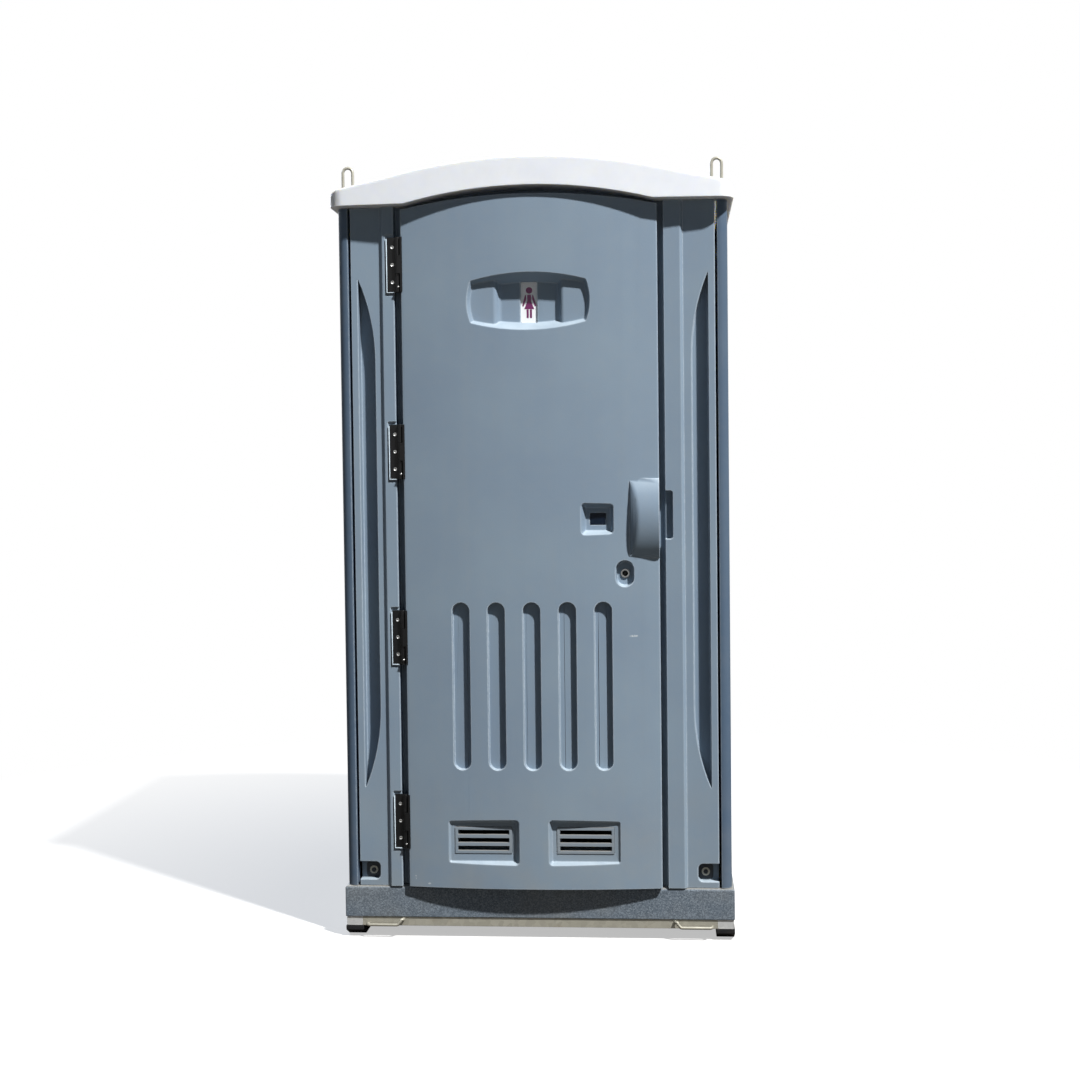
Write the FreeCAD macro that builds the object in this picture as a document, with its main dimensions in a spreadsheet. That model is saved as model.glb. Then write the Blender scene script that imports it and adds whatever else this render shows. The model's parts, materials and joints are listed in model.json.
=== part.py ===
import FreeCAD, Part
import math
import os
import sys

import Sketcher

# A portable toilet cabin, in millimetres: X to the right, Y to the back, Z up.
# The origin lies on the ground under the middle of the roof, and the door faces -Y.

SIZES = [
    # the whole cabin
    ("overall_depth", 1250, "front lip to rear lip of the roof, on the centre line"),
    ("base_width", 1120, "floor pan, side to side"),
    ("base_depth", 1175, "floor pan, front to back"),
    ("base_height", 90, "floor pan, frame to deck"),
    ("base_setback", 60, "roof lip to the front of the floor pan"),
    ("wall_width", 1106, "outside of one side wall to the other"),
    ("wall_height", 1946, "deck to the eaves"),
    ("sheet_wall", 5, "thickness of the moulded sheets"),
    ("seat_gap", 0.3, "gap between parts that lie side by side"),
    # skid and frame
    ("runner_width", 52, "skid runner, across"),
    ("runner_height", 34, "skid runner, upright"),
    ("runner_nose", 42, "length of the sloped nose of a runner"),
    ("runner_lift", 20, "height of the blunt end of the nose"),
    ("rail_height", 26, "steel rail, upright"),
    ("rail_depth", 40, "steel rail, across"),
    ("rail_wall", 3, "steel rail, wall"),
    ("side_rail_width", 46, "side rail, across"),
    ("cross_spacing", 400, "between the two cross members"),
    ("tie_radius", 5, "round bar of the tie-down loops"),
    ("tie_reach", 89, "tie-down loop, along the front rail"),
    ("tie_bend", 16, "corner of the rails to the outer leg of the tie-down loop"),
    ("tie_drop", 8, "tie-down loop under the middle of the rail"),
    ("tie_rise", 15, "sloped inner end of the tie-down loop, across and upright"),
    ("tie_standoff", 12, "centre of the loop in front of the rail"),
    # floor pan
    ("deck_round", 8, "rounded upper edge of the floor pan"),
    ("pan_skin", 6, "wall of the hollow floor pan"),
    ("tread_height", 3, "anti-slip bars on the deck"),
    ("tread_width", 10, "anti-slip bar, across"),
    ("tread_pitch", 36, "anti-slip bars, spacing"),
    ("tread_length", 800, "anti-slip bar, along X"),
    ("tread_count", 12, "anti-slip bars"),
    # front columns
    ("column_setback", 6, "front of the floor pan to the column face"),
    ("column_gap", 6, "gap between column and side wall strip"),
    ("column_depth", 69, "column face to column back"),
    ("strip_rise", 10, "jamb strip in front of the column face"),
    ("hinge_strip", 34, "width of the jamb strip on the hinge side"),
    ("latch_strip", 48, "width of the jamb strip on the latch side"),
    ("riser_run", 7, "slope between column face and jamb strip"),
    ("stop_lap", 10, "door stop flange, behind the edge of the door"),
    ("stop_thickness", 6, "door stop flange, thickness"),
    ("stop_gap", 3, "door back to the stop flange"),
    ("flute_edge", 56.5, "wall outside to the straight edge of the flute"),
    ("flute_width", 46, "leaf flute, widest"),
    ("flute_depth", 33, "leaf flute, depth"),
    ("flute_low", 286, "deck to the lower tip of the flute"),
    ("flute_length", 1457, "leaf flute, tip to tip"),
    ("flute_taper", 230, "length of each pointed end of the flute"),
    ("notch_width", 59.5, "bolt notch at the column foot"),
    ("notch_height", 51, "bolt notch, upright"),
    ("notch_depth", 30, "bolt notch, depth"),
    ("notch_rise", 44, "deck to the middle of the notch"),
    ("notch_round", 14, "corner of the bolt notch"),
    ("finger_width", 21, "finger pocket in the latch jamb"),
    ("finger_height", 135, "finger pocket, upright"),
    ("finger_depth", 18, "finger pocket, depth"),
    ("finger_rise", 1064, "deck to the middle of the finger pocket"),
    # header over the door
    ("header_depth", 32, "door header, front to back"),
    ("header_drop", 36, "door header under the eaves"),
    # side and back walls
    ("strip_width", 30, "front strip of a side wall"),
    ("strip_round", 24, "rounded corner of that strip"),
    ("strip_setback", 4, "front of the floor pan to the strip"),
    ("strip_return", 41, "flange behind the strip"),
    ("bead_count", 5, "pressed beads in a side wall"),
    ("bead_pitch", 190, "beads, spacing"),
    ("bead_half", 38, "half width of a bead"),
    ("bead_depth", 9, "depth of a bead"),
    ("bead_low", 330, "deck to the lower end of the beads"),
    ("bead_length", 1180, "bead, end to end"),
    ("side_vent_count", 9, "slots in the vent of a side wall"),
    ("side_vent_pitch", 60, "vent slots, spacing"),
    ("side_vent_width", 22, "vent slot, across"),
    ("side_vent_height", 90, "vent slot, upright"),
    ("side_vent_low", 1680, "deck to the lower end of the vent slots"),
    ("back_setback", 8, "rear of the floor pan to the back wall"),
    ("back_return", 40, "flange of the back wall inside the side walls"),
    ("back_bead_count", 4, "pressed beads in the back wall"),
    ("back_bead_pitch", 240, "beads of the back wall, spacing"),
    # roof
    ("roof_width", 1140, "roof, side to side"),
    ("roof_bow", 19, "bow of the front and rear lip in plan"),
    ("roof_corner", 45, "plan corner of the roof"),
    ("roof_rise", 123, "eaves to the front apex"),
    ("roof_shoulder", 45, "eaves to the shoulder"),
    ("roof_flank", 400, "middle to the end of the round part of the vault"),
    ("roof_flank_rise", 75, "eaves to the end of the round part of the vault"),
    ("roof_shoulder_run", 22, "rounded shoulder, across and upright"),
    ("roof_shoulder_radius", 27.5, "rounded shoulder"),
    ("roof_flange", 35, "inner width of the flange on the walls"),
    ("brow_left", 348, "left end of the brow, from the door's middle"),
    ("brow_right", 350, "right end of the brow, from the door's middle"),
    ("brow_rise", 43, "height of the arched brow"),
    # lifting eyes
    ("lift_radius", 4.5, "round bar of the lifting eyes"),
    ("lift_pitch", 28, "between the two legs of an eye"),
    ("lift_inset", 15, "wall outside to the long leg"),
    ("lift_top", 2217, "ground to the top of an eye"),
    ("lift_front", 25, "front of the floor pan to the front eyes"),
    ("lift_rear", 35, "rear of the floor pan to the rear eyes"),
    # door
    ("door_width", 725, "door, side to side"),
    ("door_shift", 6.5, "door middle to the left of the cabin middle"),
    ("door_bottom_gap", 3, "deck to the door"),
    ("door_top_gap", 11, "door corner under the eaves"),
    ("door_arch", 33, "rise of the arched top edge"),
    ("door_bow", 26, "forward bow of the door in plan"),
    ("door_proud", 12, "door edge in front of the jamb strip"),
    ("door_thickness", 40, "door at its edges"),
    ("hinge_gap", 21, "door to jamb on the hinge side"),
    ("latch_gap", 16, "door to jamb on the latch side"),
    ("inner_skin", 4, "door inner skin"),
    # door details
    ("sign_width", 329, "sign recess, corner to corner"),
    ("sign_height", 122, "sign recess, corner to corner"),
    ("sign_bulge_x", 12, "bulge of the short sides of the sign recess"),
    ("sign_bulge_z", 19, "bulge of the long sides of the sign recess"),
    ("sign_rise", 1668, "deck to the middle of the sign recess"),
    ("sign_ledge", 20, "depth of the outer floors of the sign recess"),
    ("sign_depth", 40, "depth of the middle floor"),
    ("sign_field", 150, "width of the middle floor"),
    ("sign_ramp", 26, "curved ramp between the floors"),
    ("sign_draft", 30, "slope of the recess walls in degrees"),
    ("plate_width", 47, "sign plate"),
    ("plate_height", 115, "sign plate"),
    ("plate_thickness", 2, "sign plate"),
    ("plate_pocket", 8, "depth of the sign plate's pocket"),
    ("groove_count", 5, "grooves in the door"),
    ("groove_pitch", 101, "grooves, spacing"),
    ("groove_half", 24.5, "half width of a groove"),
    ("groove_depth", 18, "depth of a groove"),
    ("groove_low", 344, "deck to the lower end of the grooves"),
    ("groove_length", 477, "groove, end to end"),
    ("vent_offset", 146, "door middle to a door vent"),
    ("vent_rise", 137, "deck to the middle of a door vent"),
    ("vent_recess_width", 208, "door vent recess"),
    ("vent_recess_height", 130, "door vent recess"),
    ("vent_recess_depth", 14, "door vent recess"),
    ("vent_width", 163, "louvre insert"),
    ("vent_height", 76, "louvre insert"),
    ("vent_lift", 4, "louvre insert above the middle of its recess"),
    ("vent_slot_height", 13, "slot between two louvre blades"),
    ("vent_slot_pitch", 23, "slots, spacing"),
    ("vent_slot_count", 3, "slots between the blades"),
    ("vent_slot_margin", 8, "solid ends of the slots"),
    ("vent_thickness", 14, "louvre insert, front to back"),
    ("recess_round", 12, "corner of the rectangular recesses"),
    ("recess_draft", 25, "slope of the small recess walls in degrees"),
    ("key_draft", 8, "slope of the key recess walls in degrees"),
    ("lock_offset", 189.5, "door middle to the lock spindle"),
    ("lock_rise", 1054.5, "deck to the lock spindle"),
    ("lock_width", 95, "indicator recess"),
    ("lock_height", 91, "indicator recess"),
    ("lock_depth", 24, "indicator recess"),
    ("window_width", 45, "indicator window"),
    ("window_height", 33, "indicator window"),
    ("key_offset", 264.5, "door middle to the key cylinder"),
    ("key_rise", 900, "deck to the key cylinder"),
    ("key_recess_half", 26.5, "half width of the key recess"),
    ("key_recess_height", 75, "key recess, upright"),
    ("key_recess_depth", 22, "key recess"),
    ("key_radius", 12.3, "key cylinder"),
    ("key_socket", 8.3, "socket in the key cylinder"),
    ("key_socket_depth", 9, "socket in the key cylinder"),
    ("key_proud", 4, "key cylinder in front of the recess floor"),
    ("cam_length", 34, "cam tail of the key cylinder"),
    ("cam_width", 12, "cam tail, across"),
    ("cam_thickness", 3, "cam tail"),
    ("grip_width", 87, "pull grip, along X"),
    ("grip_height", 222, "pull grip, upright"),
    ("grip_reach", 36, "pull grip in front of the door"),
    ("grip_rise", 1055, "deck to the middle of the pull grip"),
    ("grip_slant", 26, "slant of the closed end of the grip"),
    ("grip_hollow", 26, "finger space behind the door surface"),
    # hinges
    ("hinge_count", 4, "hinges"),
    ("hinge_first", 191, "deck to the middle of the lowest hinge"),
    ("hinge_pitch", 530, "hinges, spacing"),
    ("hinge_height", 155, "hinge leaf, upright"),
    ("hinge_plate", 5, "hinge leaf, thickness"),
    ("hinge_margin", 8, "jamb pocket around a hinge leaf"),
    ("knuckle_radius", 7.5, "hinge knuckle"),
    ("knuckle_gap", 0.5, "between two knuckles"),
    ("pin_radius", 3, "hinge pin"),
    ("pin_play", 0.1, "radial play of the pin in the door leaf"),
    ("pivot_offset", 12, "jamb edge to the hinge axis"),
    ("pivot_proud", 5, "hinge axis in front of the jamb strip"),
    ("leaf_width", 20, "hinge leaf on the jamb strip"),
    ("door_leaf_plate", 3, "hinge leaf on the door edge, thickness"),
    ("door_leaf_depth", 24, "hinge leaf on the door edge, front to back"),
    ("leaf_lap", 5, "lip of the door's hinge leaf over the door face"),
    # lock
    ("case_left", 40, "lock spindle to the left end of the lock case"),
    ("case_right", 148, "lock spindle to the right end of the lock case"),
    ("case_half", 34, "half height of the lock case"),
    ("case_hole", 6.5, "corner radius of the hole of the lock case around the spindle"),
    ("case_depth", 36, "lock case behind the door"),
    ("bolt_half", 15, "half height of the latch bolt"),
    ("bolt_thickness", 12, "latch bolt"),
    ("bolt_retracted", 5, "latch bolt end beyond the lock case"),
    ("bolt_travel", 26, "travel of the latch bolt"),
    ("bolt_play", 0.4, "play of the latch bolt in its channel"),
    ("bolt_tail", 30, "latch bolt beyond the spindle"),
    ("spindle_radius", 5, "lock spindle"),
    ("spindle_play", 0.1, "radial play of the spindle"),
    ("dial_radius", 24, "indicator dial"),
    ("dial_thickness", 2, "indicator dial"),
    ("dial_gap", 1, "indicator dial behind the window"),
    ("knob_radius", 19, "lock knob base"),
    ("knob_base", 8, "lock knob base"),
    ("knob_length", 58, "lock knob grip"),
    ("knob_width", 13, "lock knob grip"),
    ("knob_reach", 20, "lock knob grip"),
    ("strike_half", 42, "half height of the strike plate"),
    ("strike_thickness", 1.6, "strike plate"),
    # coat hook
    ("hook_rise", 1600, "deck to the coat hook"),
    ("hook_width", 16, "coat hook"),
    ("hook_height", 70, "coat hook"),
    ("hook_reach", 42, "coat hook"),
    ("hook_wall", 7, "coat hook, thickness"),
    # tank and seat
    ("tank_depth", 520, "holding tank, front to back"),
    ("tank_height", 400, "holding tank"),
    ("tank_slope", 70, "slope of the front of the tank"),
    ("tank_wall", 6, "holding tank wall"),
    ("tank_gap", 12, "holding tank to the side walls"),
    ("plinth_height", 26, "raised seat plinth"),
    ("plinth_width", 430, "raised seat plinth"),
    ("hole_width", 230, "hole under the seat"),
    ("hole_depth", 290, "hole under the seat"),
    ("seat_width", 370, "seat ring"),
    ("seat_depth", 420, "seat ring"),
    ("seat_thickness", 20, "seat ring"),
    ("seat_opening_width", 215, "opening of the seat ring"),
    ("seat_opening_depth", 270, "opening of the seat ring"),
    ("seat_front", 26, "tank front to the seat ring"),
    ("lid_thickness", 14, "seat lid"),
    ("lid_gap", 2, "lid over the seat ring"),
    ("seat_pin_radius", 6, "seat hinge pin"),
    ("seat_pin_play", 0.1, "radial play of the seat hinge"),
    ("seat_barrel", 11, "corner radius of the seat hinge barrels"),
    ("ring_barrel", 60, "hinge barrel of the seat ring, along X"),
    ("lid_barrel", 20, "hinge barrel of the lid, along X"),
    ("seat_post", 12, "post of the seat hinge, along X"),
    ("seat_arm", 44, "hinge axis to the front of the hinge arms"),
    # vent pipe
    ("pipe_radius", 55, "vent pipe"),
    ("pipe_wall", 3, "vent pipe"),
    ("pipe_offset", 400, "cabin middle to the vent pipe"),
    ("pipe_inset", 110, "rear of the floor pan to the vent pipe"),
    ("pipe_top", 2264, "ground to the top of the vent pipe"),
    ("cap_radius", 74, "vent cap"),
    ("cap_drop", 26, "vent cap skirt"),
    ("cap_rise", 14, "vent cap over the pipe"),
    ("cap_leg", 5, "half width of the vent cap legs"),
    # paper holder
    ("paper_radius", 55, "paper roll"),
    ("paper_width", 100, "paper roll"),
    ("paper_core", 20, "bore of the paper roll"),
    ("paper_rise", 700, "deck to the paper roll"),
    ("paper_stand", 14, "wall to the paper roll"),
    ("paper_play", 0.1, "radial play of the paper roll"),
    ("paper_flange", 30, "end disc of the paper holder"),
]


class Size:
    """A number together with the sheet formula that gives it."""

    def __init__(self, number, formula):
        self.number = number
        self.formula = formula

    def joined(self, sign, number, other, swapped=False):
        left, right = (formula(other), self.formula) if swapped else (self.formula, formula(other))
        return Size(number, "(%s %s %s)" % (left, sign, right))

    def __add__(self, other):
        return self.joined("+", self.number + plain(other), other)

    def __radd__(self, other):
        return self.joined("+", plain(other) + self.number, other, swapped=True)

    def __sub__(self, other):
        return self.joined("-", self.number - plain(other), other)

    def __rsub__(self, other):
        return self.joined("-", plain(other) - self.number, other, swapped=True)

    def __mul__(self, other):
        return self.joined("*", self.number * plain(other), other)

    def __rmul__(self, other):
        return self.joined("*", plain(other) * self.number, other, swapped=True)

    def __truediv__(self, other):
        return self.joined("/", self.number / plain(other), other)

    def __neg__(self):
        return Size(-self.number, "(-1 * %s)" % self.formula)


def plain(size):
    return size.number if isinstance(size, Size) else size


def formula(size):
    return size.formula if isinstance(size, Size) else repr(float(size))


ZERO = Size(0, "0")
LOOP_SIDES = 6  # straight lengths in the half circle of a lifting eye
BAR_SIDES = 6  # flat sides of the thin bars
BARREL_SIDES = 8  # flat sides of small round pieces
HOLE_SIDES = 12  # flat sides of small round holes
OVAL_SIDES = 24  # flat sides of the seat and other wide rounds
OVERCUT = 1  # how far a cutting form runs past the face it cuts
NEARLY = 0.01  # how far apart two places may be and count as one


def bind(feature, name, size):
    """Tie a property to the sheet, or set it where the size is a plain number."""
    if isinstance(size, Size):
        feature.setExpression(name, size.formula)
    else:
        setattr(feature, name, size)


def bow_radius(chord, rise):
    """Radius of the arc that rises by rise over a chord."""
    return (chord * chord / 4 + rise * rise) / (rise * 2)


doc = FreeCAD.newDocument("PortableToiletCabin")


def read_sizes():
    """Fill the sheet with the driving sizes and give each one back by name."""
    sheet = doc.addObject("Spreadsheet::Sheet", "Sizes")
    for row, (name, number, note) in enumerate(SIZES, start=1):
        sheet.set("A%d" % row, name)
        sheet.set("B%d" % row, str(number))
        sheet.set("C%d" % row, note)
        sheet.setAlias("B%d" % row, name)
    doc.recompute()
    found = type("Sizes", (), {})()
    for name, number, note in SIZES:
        setattr(found, name, Size(float(sheet.get(name)), "Sizes." + name))
    return found


s = read_sizes()
places = doc.addObject("App::VarSet", "Places")


def place(name, size):
    """Name a place that is worked out from the sheet, and keep it in the document."""
    places.addProperty("App::PropertyFloat", name, "Places", "")
    places.setExpression(name, formula(size))
    return Size(plain(size), "Places." + name)


# The levels and faces that the pieces share
roof_front = place("roof_front", -s.overall_depth / 2)
roof_back = place("roof_back", s.overall_depth / 2)
base_front = place("base_front", roof_front + s.base_setback)
base_back = place("base_back", base_front + s.base_depth)
base_side = place("base_side", s.base_width / 2)
frame_top = place("frame_top", s.runner_height + s.rail_height)
deck = place("deck", frame_top + s.base_height)
eaves = place("eaves", deck + s.wall_height)
wall_side = place("wall_side", s.wall_width / 2)
wall_inside = place("wall_inside", wall_side - s.sheet_wall)
strip_edge = place("strip_edge", wall_side - s.strip_width)
strip_front = place("strip_front", base_front + s.strip_setback)
column_side = place("column_side", strip_edge - s.column_gap)
column_face = place("column_face", base_front + s.column_setback)
column_back = place("column_back", column_face + s.column_depth)
strip_face = place("strip_face", column_face - s.strip_rise)
door_edge = place("door_edge", strip_face - s.door_proud)
door_back = place("door_back", door_edge + s.door_thickness)
door_crown = place("door_crown", door_edge - s.door_bow)
door_middle = place("door_middle", -s.door_shift)
door_left = place("door_left", door_middle - s.door_width / 2)
door_right = place("door_right", door_middle + s.door_width / 2)
door_bottom = place("door_bottom", deck + s.door_bottom_gap)
door_top = place("door_top", eaves - s.door_top_gap)
door_radius = place("door_radius", bow_radius(s.door_width, s.door_bow))
door_axis = place("door_axis", door_crown + door_radius)
stop_face = place("stop_face", door_back + s.stop_gap)
left_jamb = place("left_jamb", door_left - s.hinge_gap)
right_jamb = place("right_jamb", door_right + s.latch_gap)
left_stop = place("left_stop", door_left + s.stop_lap)
right_stop = place("right_stop", door_right - s.stop_lap)
pivot_x = place("pivot_x", left_jamb + s.pivot_offset)
pivot_y = place("pivot_y", strip_face - s.pivot_proud)
back_face = place("back_face", base_back - s.back_setback)
lock_x = place("lock_x", door_middle + s.lock_offset)
lock_z = place("lock_z", deck + s.lock_rise)
key_x = place("key_x", door_middle + s.key_offset)
key_z = place("key_z", deck + s.key_rise)
pipe_y = place("pipe_y", base_back - s.pipe_inset)
lift_front_y = place("lift_front_y", base_front + s.lift_front)
lift_rear_y = place("lift_rear_y", base_back - s.lift_rear)
flange_top = place("flange_top", eaves + s.sheet_wall)
doc.recompute()

pieces = []
PLANES = {"XY": "XY_Plane", "XZ": "XZ_Plane", "YZ": "YZ_Plane"}
TURNS = {
    "XY": FreeCAD.Rotation(),
    "XZ": FreeCAD.Rotation(FreeCAD.Vector(1, 0, 0), 90),
    "YZ": FreeCAD.Rotation(FreeCAD.Vector(1, 1, 1), 120),
}
ROD_TURNS = {
    "X": FreeCAD.Rotation(FreeCAD.Vector(0, 1, 0), 90),
    "Y": FreeCAD.Rotation(FreeCAD.Vector(1, 0, 0), -90),
    "Z": FreeCAD.Rotation(),
}


def keep(name, feature):
    """Name a finished piece, which is written to a file of that name."""
    feature.Label = name
    pieces.append(feature)
    return feature


def set_at(feature, x, y, z, turn=None):
    """Put a feature at a point of the sheet."""
    feature.Placement = FreeCAD.Placement(
        FreeCAD.Vector(plain(x), plain(y), plain(z)), turn or FreeCAD.Rotation()
    )
    for axis, size in (("x", x), ("y", y), ("z", z)):
        if isinstance(size, Size):
            feature.setExpression("Placement.Base." + axis, size.formula)
    return feature


def box(x, y, z):
    """A block between the low and high value on each axis."""
    block = doc.addObject("Part::Box", "Block")
    for name, (low, high) in (("Length", x), ("Width", y), ("Height", z)):
        bind(block, name, high - low)
    return set_at(block, x[0], y[0], z[0])


def rod(axis, across, span, radius):
    """A round bar along an axis: across gives the other two coordinates in order."""
    bar = doc.addObject("Part::Cylinder", "Bar")
    bind(bar, "Radius", radius)
    bind(bar, "Height", span[1] - span[0])
    spot = {
        "X": (span[0], across[0], across[1]),
        "Y": (across[0], span[0], across[1]),
        "Z": (across[0], across[1], span[0]),
    }[axis]
    return set_at(bar, *spot, turn=ROD_TURNS[axis])


def faceted(axis, across, span, radius, sides=BARREL_SIDES):
    """A bar with flat sides, for pieces too small to need a round one."""
    bar = doc.addObject("Part::Prism", "Bar")
    bar.Polygon = sides
    bind(bar, "Circumradius", radius)
    bind(bar, "Height", span[1] - span[0])
    spot = {
        "X": (span[0], across[0], across[1]),
        "Y": (across[0], span[0], across[1]),
        "Z": (across[0], across[1], span[0]),
    }[axis]
    return set_at(bar, *spot, turn=ROD_TURNS[axis])


def bent_side(start, end, radius):
    """An arc between two points: a positive radius turns left, a negative one right."""
    first, last = FreeCAD.Vector(*start, 0), FreeCAD.Vector(*end, 0)
    if radius < 0:
        first, last = last, first
    reach = abs(radius)
    half = (last - first).Length / 2
    along = (last - first).normalize()
    inward = FreeCAD.Vector(-along.y, along.x, 0)
    centre = (first + last) * 0.5 + inward * math.sqrt(max(reach * reach - half * half, 0))
    angles = [math.atan2(p.y - centre.y, p.x - centre.x) for p in (first, last)]
    circle = Part.Circle(centre, FreeCAD.Vector(0, 0, 1), reach)
    return Part.ArcOfCircle(circle, angles[0], angles[1])


def draw(sketch, outlines, closed=True):
    """Outlines of (u, v) or, where the side that ends there is an arc, (u, v, radius)."""
    for points in outlines:
        first = len(sketch.Geometry)
        ends = []
        sides = points if closed else points[1:]
        for here, point in enumerate(sides):
            before = points[here - 1] if closed else points[here]
            start = (plain(before[0]), plain(before[1]))
            end = (plain(point[0]), plain(point[1]))
            if len(point) == 2:
                side = Part.LineSegment(FreeCAD.Vector(*start, 0), FreeCAD.Vector(*end, 0))
                ends.append((1, 2))
            else:
                side = bent_side(start, end, plain(point[2]))
                ends.append((1, 2) if plain(point[2]) > 0 else (2, 1))
            sketch.addGeometry(side, False)
        count = len(sides)
        if not closed:
            for kind, size in (("DistanceX", points[0][0]), ("DistanceY", points[0][1])):
                start_end = 3 - ends[0][1]
                rule = Sketcher.Constraint(kind, -1, 1, first, start_end, float(plain(size)))
                tie(sketch, sketch.addConstraint(rule), size)
        for here, point in enumerate(sides if closed else sides[:-1]):
            after = (here + 1) % count
            joint = Sketcher.Constraint(
                "Coincident", first + here, ends[here][1], first + after, ends[after][0]
            )
            sketch.addConstraint(joint)
        for here, point in enumerate(sides):
            for kind, size in (("DistanceX", point[0]), ("DistanceY", point[1])):
                rule = Sketcher.Constraint(
                    kind, -1, 1, first + here, ends[here][1], float(plain(size))
                )
                tie(sketch, sketch.addConstraint(rule), size)
            if len(point) > 2:
                turn = point[2] if plain(point[2]) > 0 else -point[2]
                rule = Sketcher.Constraint("Radius", first + here, float(plain(turn)))
                tie(sketch, sketch.addConstraint(rule), turn)


def tie(sketch, number, size):
    if isinstance(size, Size):
        sketch.setExpression("Constraints[%d]" % number, size.formula)


def prism(plane, outlines, low, high, draft=0):
    """Outlines on a plane, drawn out from low to high along the third axis.

    A draft in degrees narrows them on the way from low to high.
    """
    if not isinstance(outlines[0], list):
        outlines = [outlines]
    sketch = doc.addObject("Sketcher::SketchObject", "Outline")
    level = {"XY": (0, 0, low), "XZ": (0, low, 0), "YZ": (low, 0, 0)}[plane]
    set_at(sketch, *level, turn=TURNS[plane])
    draw(sketch, outlines)
    solid = doc.addObject("Part::Extrusion", "Prism")
    solid.Base = sketch
    solid.DirMode = "Normal"
    solid.Solid = True
    bind(solid, "LengthFwd", high - low)
    solid.Reversed = plane == "XZ"
    if plain(draft):
        bind(solid, "TaperAngle", -draft)
    return solid


def joined(kind, shapes):
    if len(shapes) == 1:
        return shapes[0]
    whole = doc.addObject(kind, kind.split("::Multi")[-1])
    whole.Shapes = list(shapes)
    return whole


def fuse(*shapes):
    return joined("Part::MultiFuse", shapes)


def common(*shapes):
    return joined("Part::MultiCommon", shapes)


def cut(base, *tools):
    result = doc.addObject("Part::Cut", "Cut")
    result.Base = base
    result.Tool = fuse(*tools)
    return result


def row(middle, pitch, count):
    """Evenly spaced places about a middle."""
    return [middle + pitch * (number - (plain(count) - 1) / 2) for number in range(int(plain(count)))]


def span(middle, half):
    return (middle - half, middle + half)


def ordered(first, second):
    return (first, second) if plain(first) < plain(second) else (second, first)


def rectangle(u, v):
    """Outline of a rectangle from two (low, high) pairs."""
    return [(u[0], v[0]), (u[1], v[0]), (u[1], v[1]), (u[0], v[1])]


def rounded(u, v, radius):
    """Outline of a rectangle with rounded corners."""
    return [
        (u[0] + radius, v[0]),
        (u[1] - radius, v[0]),
        (u[1], v[0] + radius, radius),
        (u[1], v[1] - radius),
        (u[1] - radius, v[1], radius),
        (u[0] + radius, v[1]),
        (u[0], v[1] - radius, radius),
        (u[0], v[0] + radius),
        (u[0] + radius, v[0], radius),
    ][1:]


def oval(u, v, half_u, half_v, sides=OVAL_SIDES):
    """Outline of an oval or a regular polygon, drawn with straight sides."""
    turns = [2 * math.pi * number / sides for number in range(sides)]
    return [(u + half_u * math.cos(turn), v + half_v * math.sin(turn)) for turn in turns]


def disc(u, v, radius):
    """Outline of a circle, as four quarter arcs."""
    return [
        (u, v - radius, radius), (u + radius, v, radius),
        (u, v + radius, radius), (u - radius, v, radius),
    ]


def slot(u, v, half):
    """Outline of an upright slot with round ends."""
    return [
        (u, v[0], half),
        (u + half, v[0] + half, half),
        (u + half, v[1] - half),
        (u, v[1], half),
        (u - half, v[1] - half, half),
        (u - half, v[0] + half),
    ]


class Moulding:
    """A body that is built up from sketches, one feature after another."""

    def __init__(self, name):
        self.body = doc.addObject("PartDesign::Body", name)
        keep(name, self.body)

    def sketch(self, plane, outlines, level, closed=True):
        """A sketch on one of the body's own planes, moved to a level along its normal."""
        if not isinstance(outlines[0], list):
            outlines = [outlines]
        sketch = self.body.newObject("Sketcher::SketchObject", "Outline")
        role = PLANES[plane]
        flat = [p for p in self.body.Origin.OriginFeatures if p.Role == role]
        sketch.AttachmentSupport = [(flat[0], "")]
        sketch.MapMode = "FlatFace"
        offset = -level if plane == "XZ" else level
        sketch.AttachmentOffset = FreeCAD.Placement(
            FreeCAD.Vector(0, 0, plain(offset)), FreeCAD.Rotation()
        )
        if isinstance(offset, Size):
            sketch.setExpression("AttachmentOffset.Base.z", offset.formula)
        draw(sketch, outlines, closed)
        return sketch

    def pad(self, plane, outlines, low, high):
        start = high if plane == "XZ" else low
        feature = self.body.newObject("PartDesign::Pad", "Pad")
        feature.Profile = self.sketch(plane, outlines, start)
        bind(feature, "Length", high - low)
        return feature

    def pocket(self, plane, outlines, low, high):
        start = low if plane == "XZ" else high
        feature = self.body.newObject("PartDesign::Pocket", "Pocket")
        feature.Profile = self.sketch(plane, outlines, start)
        bind(feature, "Length", high - low)
        return feature

    def pipe(self, section_plane, section, level, path_plane, path, path_level):
        """A section drawn along an open path with mitred corners."""
        profile = self.sketch(section_plane, section, level)
        spine = self.sketch(path_plane, [path], path_level, closed=False)
        doc.recompute()
        feature = self.body.newObject("PartDesign::AdditivePipe", "Pipe")
        feature.Profile = profile
        edges = ["Edge%d" % number for number in range(1, len(path))]
        feature.Spine = (spine, edges)
        feature.Transition = "Right corner"
        return feature

    def repeat(self, features, axis, pitch, count):
        """Copies of features along an axis, with a pitch and a count from the sheet."""
        pattern = self.body.newObject("PartDesign::LinearPattern", "Pattern")
        pattern.Originals = features
        lines = [p for p in self.body.Origin.OriginFeatures if p.Role == axis + "_Axis"]
        pattern.Direction = (lines[0], [""])
        bind(pattern, "Length", pitch * (count - 1))
        bind(pattern, "Occurrences", count)
        self.body.Tip = pattern
        return pattern

    def dress(self, kind, name, size, wanted):
        """A fillet or chamfer on the edges that wanted picks by their middle point."""
        doc.recompute()
        base = self.body.Tip
        found = []
        for number, edge in enumerate(base.Shape.Edges, start=1):
            low, high = edge.ParameterRange
            if wanted(edge.valueAt((low + high) / 2), edge):
                found.append("Edge%d" % number)
        feature = self.body.newObject("PartDesign::" + kind, kind)
        feature.Base = (base, found)
        bind(feature, name, size)
        return feature


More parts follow.
